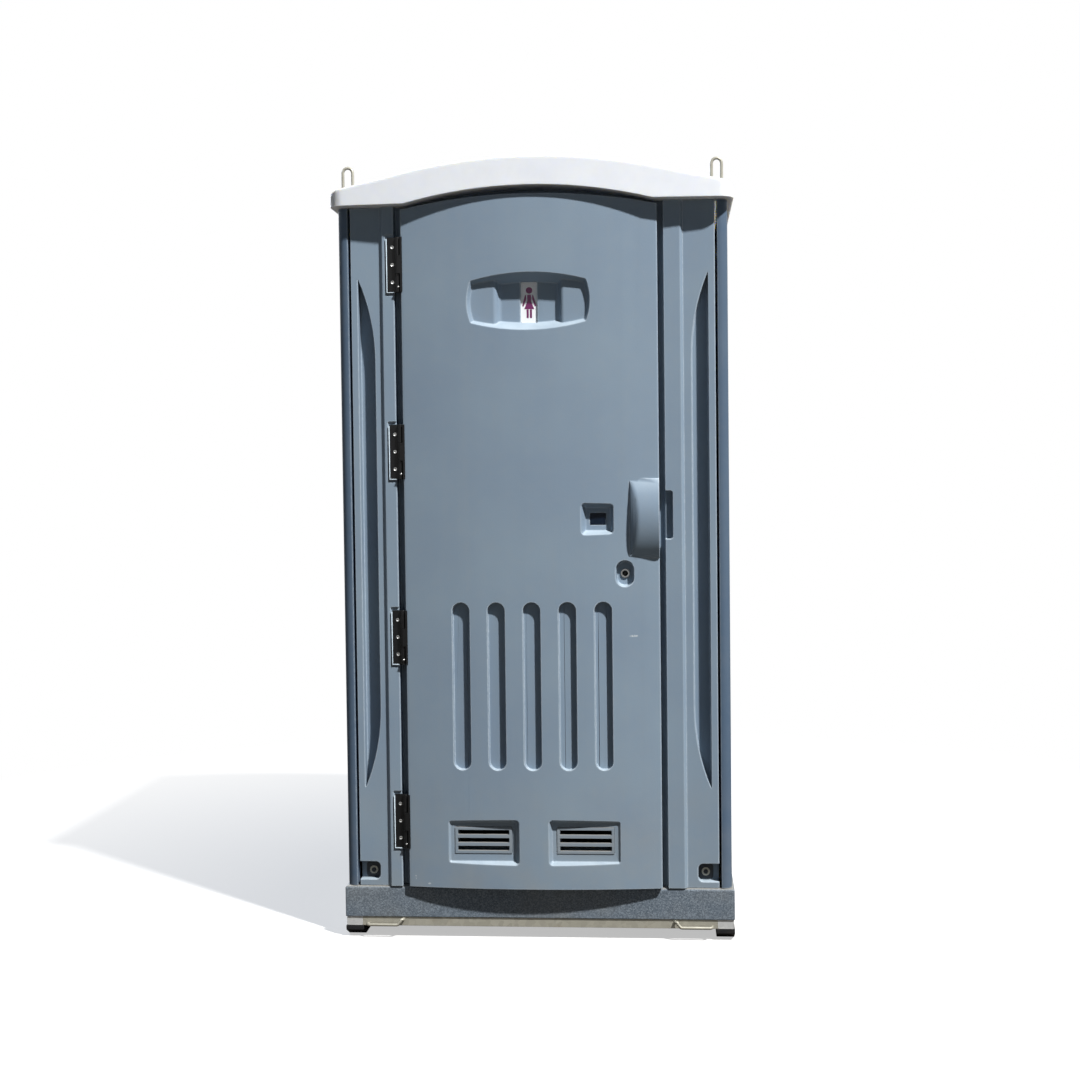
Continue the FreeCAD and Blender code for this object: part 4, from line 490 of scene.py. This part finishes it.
def arc_radius(half, rise):
    """The radius of an arc from half its width and its rise."""
    return (half * half + rise * rise) / (2 * rise)


def round_on_face(grid, profile, x, face, z, sides=20):
    """A round form on a face that looks forward, from (radius, reach) pairs in millimetres."""
    rings = []
    for radius, reach in profile:
        ring = []
        for number in range(sides):
            angle = 2 * math.pi * number / sides
            ring.append(grid.verts.new((x + radius * MM * math.cos(angle), face - reach * MM,
                                        z + radius * MM * math.sin(angle))))
        rings.append(ring)
    for first, second in zip(rings, rings[1:]):
        for number in range(sides):
            after = (number + 1) % sides
            grid.faces.new((first[number], first[after], second[after], second[number]))
    grid.faces.new(list(reversed(rings[0])))
    grid.faces.new(rings[-1])


def outline_slab(grid, outline, front, thick):
    """A flat shape from (x, z) points, facing the front."""
    ring = [grid.verts.new((x, front, z)) for x, z in outline]
    back = [grid.verts.new((x, front + thick, z)) for x, z in outline]
    grid.faces.new(ring)
    grid.faces.new(list(reversed(back)))
    for number in range(len(ring)):
        after = (number + 1) % len(ring)
        grid.faces.new((ring[after], ring[number], back[number], back[after]))


def rounded_outline(left, right, low, high, radius, steps):
    """The (x, z) points of a rectangle with round corners."""
    corners = ((right - radius, high - radius, 0), (left + radius, high - radius, 90),
               (left + radius, low + radius, 180), (right - radius, low + radius, 270))
    found = []
    for x, z, start in corners:
        for step in range(steps + 1):
            angle = math.radians(start + 90 * step / steps)
            found.append((x + radius * math.cos(angle), z + radius * math.sin(angle)))
    return found


# The door's outer skin: the CAD piece with its bow drawn again round one upright axis

# X of both sides, Y of the foremost line, and how far it stands before the sides
DOOR_LEFT, DOOR_RIGHT, DOOR_CROWN = -0.369, 0.356, -0.607
DOOR_BOW = 26 * MM
DOOR_MIDDLE = (DOOR_LEFT + DOOR_RIGHT) / 2
DOOR_AXIS_Y = DOOR_CROWN + arc_radius((DOOR_RIGHT - DOOR_LEFT) / 2, DOOR_BOW)
DOOR_EDGE = 2.4 * MM
# a face is on the bow when it looks forward and its corners are about as far from the axis
BOW_FORWARD, BOW_SPREAD = -0.85, 0.06 * MM
# the strips' width, and how far a cut keeps from the edges that are there
STRIP = 12 * MM
STRIP_CLEAR = 5.5 * MM
# those edges are at least this long and lean by no more than this
EDGE_LONG, EDGE_LEAN = 30 * MM, 1.5 * MM
# heights between which a cut also keeps clear of corners: the round ones of the vents
VENTS_LOW, VENTS_HIGH = 0.2, 0.36
TOUCHING = 1e-6

# the pull grip: the foot of its slanted closed end, the door's face and its own, both ends
GRIP_EDGE = 0.2723
GRIP_DOOR_FACE, GRIP_FRONT = -0.5917, -0.6229
GRIP_LOW, GRIP_HIGH = 1.1008, 1.3092
# where the slanted end looks, in X and Y, and how far the soft crease reaches past it
GRIP_SLANT = (-0.82, -0.57)
GRIP_BLEND = 14 * MM
GRIP_FORWARD = -0.4
GRIP_CUTS, GRIP_CUT_STEP = 7, 4.6 * MM

# faces that turn by more than this aren't shaded as one
WIDEST_EASED = math.radians(42)


def from_axis(place):
    """How far a place is from the axis of the door's bow."""
    return math.hypot(place.x - DOOR_MIDDLE, place.y - DOOR_AXIS_Y)


def each_once(elements):
    """Elements in their own order without repeats; a set's order would differ in each run."""
    return list(dict.fromkeys(elements))


def cut_upright(grid, faces, x):
    """Cut some faces along an upright line."""
    edges = each_once(edge for face in faces for edge in face.edges)
    corners = each_once(vertex for face in faces for vertex in face.verts)
    bmesh.ops.bisect_plane(grid, geom=faces + edges + corners, dist=1e-7,
                           plane_co=(x, 0, 0), plane_no=(1, 0, 0))


def on_grip(place):
    """Whether a place is on the part of the pull grip that stands out of the door."""
    return place.x > GRIP_EDGE - 1 * MM and GRIP_LOW < place.z < GRIP_HIGH \
        and place.y < GRIP_DOOR_FACE - 0.3 * MM


def tag_bowed(grid, tag):
    """Note on each face of the bow how far it is from the axis; other faces keep a zero."""
    for face in grid.faces:
        radii = [from_axis(vertex.co) for vertex in face.verts]
        if face.normal.y < BOW_FORWARD and max(radii) - min(radii) < BOW_SPREAD:
            face[tag] = sum(radii) / len(radii)


def strip_lines(grid, tag):
    """Where the bow is cut: at even steps, but not beside an edge that it has."""
    rims = [edge for edge in grid.edges if any(face[tag] for face in edge.link_faces)
            and not all(face[tag] for face in edge.link_faces)]
    upright = {round(edge.verts[0].co.x, 4) for edge in rims if edge.calc_length() > EDGE_LONG
               and abs(edge.verts[0].co.x - edge.verts[1].co.x) < EDGE_LEAN}
    corners = {round(vertex.co.x, 4) for vertex in grid.verts
               if VENTS_LOW < vertex.co.z < VENTS_HIGH
               and any(face[tag] for face in vertex.link_faces)}
    steps = range(math.ceil(DOOR_LEFT / STRIP), math.ceil(DOOR_RIGHT / STRIP))
    return [step * STRIP for step in steps
            if all(abs(step * STRIP - other) > STRIP_CLEAR for other in upright | corners)]


def onto_bow(grid, tag):
    """Move the corners of the bow's faces onto their arcs."""
    for face in grid.faces:
        if face[tag]:
            for vertex in face.verts:
                off = vertex.co.x - DOOR_MIDDLE
                vertex.co.y = DOOR_AXIS_Y - math.sqrt(face[tag] ** 2 - off * off)


def splits_strip(edge, tag, lines):
    """Whether an edge only splits one strip of the bow, so that it can go."""
    x = [vertex.co.x for vertex in edge.verts]
    on_line = abs(x[0] - x[1]) < TOUCHING and any(abs(x[0] - line) < TOUCHING for line in lines)
    return len(edge.link_faces) == 2 and all(face[tag] for face in edge.link_faces) \
        and not on_line and abs(edge.link_faces[0][tag] - edge.link_faces[1][tag]) < 0.2 * MM


def round_edges(grid, radius):
    """Round every edge that turns by more than the sharp angle."""
    edges = [edge for edge in grid.edges if edge.is_manifold and edge.calc_face_angle() > SHARP]
    bmesh.ops.bevel(grid, geom=edges, offset=radius, segments=2, profile=0.5, affect="EDGES",
                    clamp_overlap=False, miter_outer="ARC")


def bowed_door_skin(grid):
    """The door's outer skin, its bowed faces cut into even upright strips and its edges
    rounded, so that the bow shades as one sweep. The grip gets lines for its soft crease."""
    grid.from_mesh(nodes["door_outer_skin"].data)
    bmesh.ops.remove_doubles(grid, verts=grid.verts, dist=WELD)
    for number in range(1, GRIP_CUTS + 1):
        grip = [face for face in grid.faces
                if face.normal.y < GRIP_FORWARD and on_grip(face.calc_center_median())]
        cut_upright(grid, grip, GRIP_EDGE + number * GRIP_CUT_STEP)
    tag = grid.faces.layers.float.new("bowed")
    tag_bowed(grid, tag)
    lines = strip_lines(grid, tag)
    for x in lines:
        cut_upright(grid, [face for face in grid.faces if face[tag]], x)
    onto_bow(grid, tag)
    inner = [edge for edge in grid.edges if splits_strip(edge, tag, lines)]
    bmesh.ops.dissolve_edges(grid, edges=inner, use_verts=False, use_face_split=False)
    front = each_once(vertex for face in grid.faces if face[tag] for vertex in face.verts)
    bmesh.ops.remove_doubles(grid, verts=front, dist=0.5 * MM)
    bmesh.ops.dissolve_degenerate(grid, edges=grid.edges, dist=0.01 * MM)
    grid.normal_update()
    round_edges(grid, DOOR_EDGE)


def ease_normals(mesh):
    """Shade each corner by the larger faces round it, so that flats stay flat and rounded
    edges and bows run smoothly."""
    around = [[] for _ in mesh.vertices]
    for face in mesh.polygons:
        for vertex in face.vertices:
            around[vertex].append((face.normal.copy(), face.area))
    limit = math.cos(WIDEST_EASED)
    normals = []
    for face in mesh.polygons:
        for vertex in face.vertices:
            total = Vector((0, 0, 0))
            for normal, area in around[vertex]:
                if normal.dot(face.normal) > limit:
                    total += normal * area
            normals.append(total.normalized() if total.length else face.normal)
    mesh.normals_split_custom_set(normals)


def grip_crease(z):
    """Where the slanted closed end of the pull grip meets its round back, along X, and how
    far the back leans up there."""
    radius = arc_radius((GRIP_HIGH - GRIP_LOW) / 2, GRIP_DOOR_FACE - GRIP_FRONT)
    off = z - (GRIP_HIGH + GRIP_LOW) / 2
    front = GRIP_FRONT + radius - math.sqrt(radius * radius - off * off)
    return GRIP_EDGE + (GRIP_DOOR_FACE - front) * GRIP_SLANT[1] / GRIP_SLANT[0], off / radius


def ease_grip(mesh):
    """Turn the sharp crease of the grip into a soft one, as the moulding has it."""
    slanted = Vector((*GRIP_SLANT, 0))
    normals = [Vector(corner.vector) for corner in mesh.corner_normals]
    for face in mesh.polygons:
        if not on_grip(face.center) or face.normal.y > GRIP_FORWARD:
            continue
        for loop in face.loop_indices:
            place = mesh.vertices[mesh.loops[loop].vertex_index].co
            if not GRIP_LOW < place.z < GRIP_HIGH:
                continue
            crease, tilt = grip_crease(place.z)
            back = Vector((0, -math.sqrt(1 - tilt * tilt), tilt))
            if place.x < crease:
                part = (place.x - GRIP_EDGE) / max(crease - GRIP_EDGE, 1 * MM)
            else:
                part = 1 + (place.x - crease) / GRIP_BLEND
            part = min(max(part / 2, 0), 1)
            part = part * part * (3 - 2 * part)
            normals[loop] = (slanted * (1 - part) + back * part).normalized()
    mesh.normals_split_custom_set(normals)


bowed_door = piece("bowed_door_skin", bowed_door_skin, materials["column_plastic"], "door")
ease_normals(bowed_door.data)
ease_grip(bowed_door.data)
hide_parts("door_outer_skin")


# Hinges: rivets, pin ends and the rims of their pockets

HINGES = [name for name in sorted(nodes) if name.startswith("hinge_frame_leaf")]
# the front of the column's strip and of the hinge leaves let into it
STRIP_FACE = -0.569
# profiles of turned forms: (radius, reach out of the face) in millimetres
RIVET_DISH = ((5.4, 0), (5.4, 0.7), (4.9, 1.5), (4.1, 1.9), (3.2, 1.5), (2.3, 0.6), (1.0, 0.3))
RIVET_PITCH = 49.5 * MM
RIVET_INSET = 16.0 * MM
PIN_HEAD = ((3.0, 0), (3.0, 0.8), (2.4, 1.7), (1.2, 2.2))
PIN_FROM_MIDDLE = -0.5 * MM
PIN_FROM_END = 13.8 * MM
BEAD_WIDE, BEAD_HIGH = 3.2 * MM, 4.2 * MM
# across and out of the strip, in widths and heights of the bead
BEAD_SECTION = ((-0.5, 0.02), (-0.42, -0.6), (-0.2, -0.92), (0.1, -1.0), (0.35, -0.8),
                (0.5, 0.02))
# how far the bead's line is from the leaf, how far it goes under it and where it ends
BEAD_OUTSIDE, BEAD_ALONG_FOOT, BEAD_BELOW_TOP = BEAD_WIDE * 0.3, 22 * MM, 4 * MM


def hinge_rivets(grid):
    """Three dished rivets up the middle of each hinge leaf."""
    for name in HINGES:
        low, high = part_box(name)
        middle = (low.z + high.z) / 2
        for step in (-1, 0, 1):
            round_on_face(grid, RIVET_DISH, low.x + RIVET_INSET, STRIP_FACE,
                          middle + step * RIVET_PITCH)


def hinge_pin_ends(grid):
    """The bright head of the pin's lock near the foot of each hinge's door leaf."""
    for name in HINGES:
        low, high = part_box(name.replace("frame", "door"))
        round_on_face(grid, PIN_HEAD, (low.x + high.x) / 2 + PIN_FROM_MIDDLE, low.y,
                      low.z + PIN_FROM_END)


def hinge_pocket_rims(grid):
    """The rounded rim that is moulded round the outer side of each hinge leaf."""
    for name in HINGES:
        low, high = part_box(name)
        left, right = low.x - BEAD_OUTSIDE, low.x + BEAD_ALONG_FOOT
        foot, top = low.z - BEAD_OUTSIDE, high.z - BEAD_BELOW_TOP
        # corners of the rim's line, each with the way that points away from the hinge
        line = (((left, top), (-1, 0)), ((left, foot), (-1, -1)), ((right, foot), (0, -1)))
        rings = []
        for (x, z), (out_x, out_z) in line:
            rings.append([grid.verts.new((x + out_x * u * BEAD_WIDE, STRIP_FACE + v * BEAD_HIGH,
                                          z + out_z * u * BEAD_WIDE)) for u, v in BEAD_SECTION])
        for first, second in zip(rings, rings[1:]):
            for number in range(len(BEAD_SECTION) - 1):
                grid.faces.new((first[number], second[number], second[number + 1],
                                first[number + 1]))
            grid.faces.new((first[-1], second[-1], second[0], first[0]))
        grid.faces.new(rings[0])
        grid.faces.new(list(reversed(rings[-1])))


piece("hinge_rivets", hinge_rivets, rivet_metal, "cabin")
piece("hinge_pin_ends", hinge_pin_ends, rivet_metal, "door")
piece("hinge_pocket_rims", hinge_pocket_rims, materials["column_plastic"], "cabin")


# Key cylinder, rail ends and foot bolts

# the middle of the key's ring is this far under its top, its cup's floor so far back
KEY_RING_RADIUS = 12.3 * MM
KEY_CUP_DEPTH = 9.0 * MM
KEY_SOCKET = ((8.2, -0.3), (8.2, 0.6), (7.6, 1.0), (5.2, 1.1), (4.6, 3.2), (4.0, 3.8))
# plates in the rails' ends: inside the rail's outline, their thickness and how far in
END_INSET, END_THICK, END_SUNK = 1.2 * MM, 2.5 * MM, 0.2 * MM
# the middle of each bolt on its notch's floor
FOOT_BOLTS = ((-0.481, -0.529, 0.190), (0.479, -0.529, 0.192))
BOLT_HEAD = ((6.6, 3.6), (7, 4), (7, 7.2), (6.2, 8))
WASHER = ((11.5, 2), (12, 2.4), (12, 3.3), (11, 3.8), (7.5, 3.9))
# the dark plate round each bolt, which is painted shade on the notch's floor
SHADE_PLATE_HALF, SHADE_PLATE_CORNER, SHADE_PLATE_THICK = 21 * MM, 7 * MM, 2 * MM


def key_core(grid):
    """The dark socket in the key cylinder, with the stub that the service key grips."""
    low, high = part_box("key_cylinder")
    round_on_face(grid, KEY_SOCKET, (low.x + high.x) / 2, low.y + KEY_CUP_DEPTH,
                  high.z - KEY_RING_RADIUS, 24)


def rail_end_plates(grid):
    """Plates welded into the ends of the side rails."""
    for name in ("frame_rail_left", "frame_rail_right"):
        low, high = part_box(name)
        left, right = low.x + END_INSET, high.x - END_INSET
        foot, top = low.z + END_INSET, high.z - END_INSET
        outline = ((left, foot), (right, foot), (right, top), (left, top))
        outline_slab(grid, outline, low.y + END_SUNK, END_THICK)
        outline_slab(grid, outline, high.y - END_THICK - END_SUNK, END_THICK)


def foot_bolts_on_shade_plates(grid):
    """A bolt's head on a dark plate with round corners, in each foot notch;
    the plate is painted shade on the notch's floor.
    """
    for x, face, z in FOOT_BOLTS:
        outline = rounded_outline(x - SHADE_PLATE_HALF, x + SHADE_PLATE_HALF, z - SHADE_PLATE_HALF, z + SHADE_PLATE_HALF,
                                  SHADE_PLATE_CORNER, 4)
        outline_slab(grid, outline, face - SHADE_PLATE_THICK, SHADE_PLATE_THICK)
        round_on_face(grid, BOLT_HEAD, x, face, z, 6)


def bolt_washers(grid):
    """A plated washer under each foot bolt's head."""
    for x, face, z in FOOT_BOLTS:
        round_on_face(grid, WASHER, x, face, z, 24)


piece("key_core", key_core, dark_socket, "key")
# the end plates take the brighter zinc, a painted highlight
piece("rail_end_plates", rail_end_plates, galvanised_painted_highlight, "cabin", False)
# bolt heads on dark plates of painted shade
piece("foot_bolts_on_shade_plates", foot_bolts_on_shade_plates, black_bolt_and_shade_plate, "cabin", False)
piece("bolt_washers", bolt_washers, materials["galvanised_steel"], "cabin",
      False)


# Sign

SIGN_CORNER = 5 * MM
FILM_THICK, FILM_PROUD = 0.3 * MM, 0.35 * MM
FILM_RIGHT = 0.5 * MM
# the figure in millimetres from the middle of the sign: its head, then its right side
HEAD_RADIUS, HEAD_UP, HEAD_SIDES = 9.2, 34, 24
ARM = ((8.6, 22.0), (11.8, 20.6), (19.8, -8.6), (18.2, -11.2), (15.6, -10.4), (8.6, 9.0))
LEG = ((1.6, -19.4), (1.6, -42.5), (2.8, -43.8), (6.4, -43.8), (7.6, -42.5), (7.6, -19.4))
DRESS = ((-5.4, 22.0), (-5.8, 12.0), (-5.2, 4.0), (-14.2, -18.6), (14.2, -18.6), (5.2, 4.0),
         (5.8, 12.0), (5.4, 22.0))


def sign_panel(grid):
    """The sign's plate with round corners."""
    low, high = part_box("sign_plate")
    outline_slab(grid, rounded_outline(low.x, high.x, low.z, high.z, SIGN_CORNER, 5), low.y,
                 high.y - low.y)


def mirrored(shape):
    """A shape's other side."""
    return [(-u, v) for u, v in reversed(shape)]


def lady_pictogram(grid):
    """The common figure for a women's toilet: head, dress, two arms and two legs."""
    low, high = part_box("sign_plate")
    x, z = (low.x + high.x) / 2 + FILM_RIGHT, (low.z + high.z) / 2
    angles = [2 * math.pi * number / HEAD_SIDES for number in range(HEAD_SIDES)]
    head = [(HEAD_RADIUS * math.cos(angle), HEAD_UP + HEAD_RADIUS * math.sin(angle))
            for angle in angles]
    for shape in (head, ARM, mirrored(ARM), DRESS, LEG, mirrored(LEG)):
        outline_slab(grid, [(x + u * MM, z + v * MM) for u, v in shape], low.y - FILM_PROUD,
                     FILM_THICK)


panel = piece("sign_panel", sign_panel, materials["sign_plastic"], "door", False)
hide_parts("sign_plate")
piece("lady_pictogram", lady_pictogram, sign_film, "door", False)


# Lifting eyes and tie loops: round bars in place of the faceted ones

BAR_RADIUS = 4.3 * MM
CAD_BAR_RADIUS = 4.5 * MM
# X of the eye's two legs, the radius between them, and the heights of their ends
EYE_OUTER, EYE_INNER, EYE_TURN = 0.538, 0.510, 14 * MM
EYE_FOOT, EYE_END = 0.16, 2.1015
# X of the loop's three bends, Y of the rails that it is welded to, and how it stands off
LOOP_OUTER, LOOP_SLOPE, LOOP_INNER = 0.495, 0.406, 0.391
LOOP_FRONT, LOOP_REAR = -0.561, 0.606
LOOP_STAND, LOOP_TURN = 12 * MM, 7 * MM
LOOP_LOW, LOOP_HIGH = 0.039, 0.054


def eye_line(low, high):
    """The line of a lifting eye: up beside the wall, over at the roof's corner and down."""
    side = 1 if low.x > 0 else -1
    y = (low.y + high.y) / 2
    top = high.z - CAD_BAR_RADIUS - EYE_TURN
    middle = (EYE_OUTER + EYE_INNER) / 2
    return [Vector((side * EYE_OUTER, y, EYE_FOOT)), Vector((side * EYE_OUTER, y, top)),
            *arc((side * middle, y, top), EYE_TURN, 0, 180, (side, 0, 0), (0, 0, 1), 12)[1:],
            Vector((side * EYE_INNER, y, EYE_END))]


def loop_line(low, high):
    """The line of a tie loop: out of the rail, along it, up a slope and back in."""
    side = 1 if low.x > 0 else -1
    outward = 1 if high.y > 0 else -1
    face = LOOP_REAR if outward > 0 else LOOP_FRONT
    stand = face + outward * LOOP_STAND
    bend_y = stand - outward * LOOP_TURN
    inner, slope, outer = side * LOOP_INNER, side * LOOP_SLOPE, side * LOOP_OUTER
    plane = (side, 0, 0), (0, outward, 0)
    return [Vector((outer, face, LOOP_LOW)),
            *arc((outer - side * LOOP_TURN, bend_y, LOOP_LOW), LOOP_TURN, 0, 90, *plane, 6),
            Vector((slope + side * 4 * MM, stand, LOOP_LOW)),
            Vector((slope, stand, LOOP_LOW + 1 * MM)),
            Vector((inner + side * LOOP_TURN, stand, LOOP_HIGH - 4 * MM)),
            *arc((inner + side * LOOP_TURN, bend_y, LOOP_HIGH), LOOP_TURN, 100, 180, *plane, 5),
            Vector((inner, face, LOOP_HIGH))]


for name in sorted(nodes):
    for start, line_of in (("lifting_eye", eye_line), ("tie_loop", loop_line)):
        if name.startswith(start):
            bar("round_" + name, line_of(*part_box(name)), BAR_RADIUS, name, "cabin",
                materials["galvanised_steel"])


# Floor, light and camera

CENTRE = (0, -0.5, 1.15)
FLOOR_HALF = 40
# the photo's camera: its place, its turns and its focal length on the photo's frame
CAMERA = (0.3803, -5.0590, 1.3174)
YAW, PITCH, ROLL = math.radians(-4.621), math.radians(-2.179), math.radians(-0.675)
FOCAL_PIXELS = 1588.4
FRAME_PIXELS = 1080


def studio_floor():
    """A pale floor that takes the object's shadow and fades to plain white for the camera.
    What it throws back onto the object is as dim as paving, so that shadows stay deep."""
    material, tree, shader, place = new_material("pale_studio_floor")
    path = add(tree, "ShaderNodeLightPath")
    seen = path.outputs["Is Camera Ray"]
    tree.links.new(mix(tree, seen, "#5A554E", "#F2F2F2"), shader.inputs["Base Color"])
    shader.inputs["Roughness"].default_value = 0.9
    shader.inputs["Specular IOR Level"].default_value = 0.2
    white = add(tree, "ShaderNodeEmission", Color=(1, 1, 1, 1), Strength=1.0)
    reach = add(tree, "ShaderNodeVectorMath", [(place, 0)], operation="LENGTH").outputs["Value"]
    far = ramp(tree, reach, 0.8, 3.2, 0.5, 1.0)
    both = add(tree, "ShaderNodeMixShader", [(math_node(tree, "MULTIPLY", far, seen), 0),
                                             (shader.outputs[0], 1), (white.outputs[0], 2)])
    tree.links.new(both.outputs[0], tree.nodes["Material Output"].inputs["Surface"])
    mesh = bpy.data.meshes.new("studio_floor")
    grid = bmesh.new()
    bmesh.ops.create_grid(grid, x_segments=1, y_segments=1, size=FLOOR_HALF)
    grid.to_mesh(mesh)
    grid.free()
    mesh.materials.append(material)
    obj = linked("studio_floor", mesh)


def lamp(name, place, aim, size, watts, colour):
    """A round lamp that looks at a spot."""
    light = bpy.data.lights.new(name, "AREA")
    light.shape = "DISK"
    light.size = size
    light.energy = watts
    light.color = linear(colour)[:3]
    obj = linked(name, light)
    obj.location = place
    obj.rotation_euler = (Vector(aim) - Vector(place)).to_track_quat("-Z", "Y").to_euler()


def world_light():
    """Soft even light, which the camera sees as white."""
    world = bpy.data.worlds.new("studio")
    bpy.context.scene.world = world
    world.use_nodes = True
    tree = world.node_tree
    back = tree.nodes["Background"]
    back.inputs["Color"].default_value = linear("#BCDCFF")
    back.inputs["Strength"].default_value = 0.09
    white = add(tree, "ShaderNodeBackground", Color=(1, 1, 1, 1), Strength=1.0)
    path = add(tree, "ShaderNodeLightPath")
    seen = math_node(tree, "MAXIMUM", path.outputs["Is Camera Ray"],
                     math_node(tree, "MAXIMUM", path.outputs["Is Glossy Ray"],
                               path.outputs["Is Transmission Ray"]))
    both = add(tree, "ShaderNodeMixShader", [(seen, 0), (back.outputs[0], 1),
                                             (white.outputs[0], 2)])
    tree.links.new(both.outputs[0], tree.nodes["World Output"].inputs["Surface"])


def photo_camera():
    """The camera where the photo was taken from, worked out from the cabin's own edges."""
    ahead = Vector((math.sin(YAW) * math.cos(PITCH), math.cos(YAW) * math.cos(PITCH),
                    math.sin(PITCH)))
    right = Vector((math.cos(YAW), -math.sin(YAW), 0))
    up = right.cross(ahead)
    rolled = right * math.cos(ROLL) + up * math.sin(ROLL)
    upright = up * math.cos(ROLL) - right * math.sin(ROLL)
    lens = bpy.data.cameras.new("photo_camera")
    lens.sensor_width = 36
    lens.lens = FOCAL_PIXELS * lens.sensor_width / FRAME_PIXELS
    lens.clip_start, lens.clip_end = 0.1, 200
    obj = linked("photo_camera", lens)
    turn = Matrix((rolled, upright, -ahead)).transposed().to_4x4()
    obj.matrix_world = Matrix.Translation(CAMERA) @ turn
    bpy.context.scene.camera = obj


studio_floor()
world_light()
# the main lamp stands as far off as it can be, so that top and foot get the same light
lamp("key", (10.92, -10.43, 20.0), CENTRE, 1.0, 12400, "#FFFDF9")
# behind the front plane, so that it reaches the back and the left side only
lamp("back_fill", (-9.0, 16.0, 8.0), CENTRE, 4.0, 3300, "#E6F0FF")
photo_camera()
bpy.context.scene.view_settings.view_transform = "Standard"
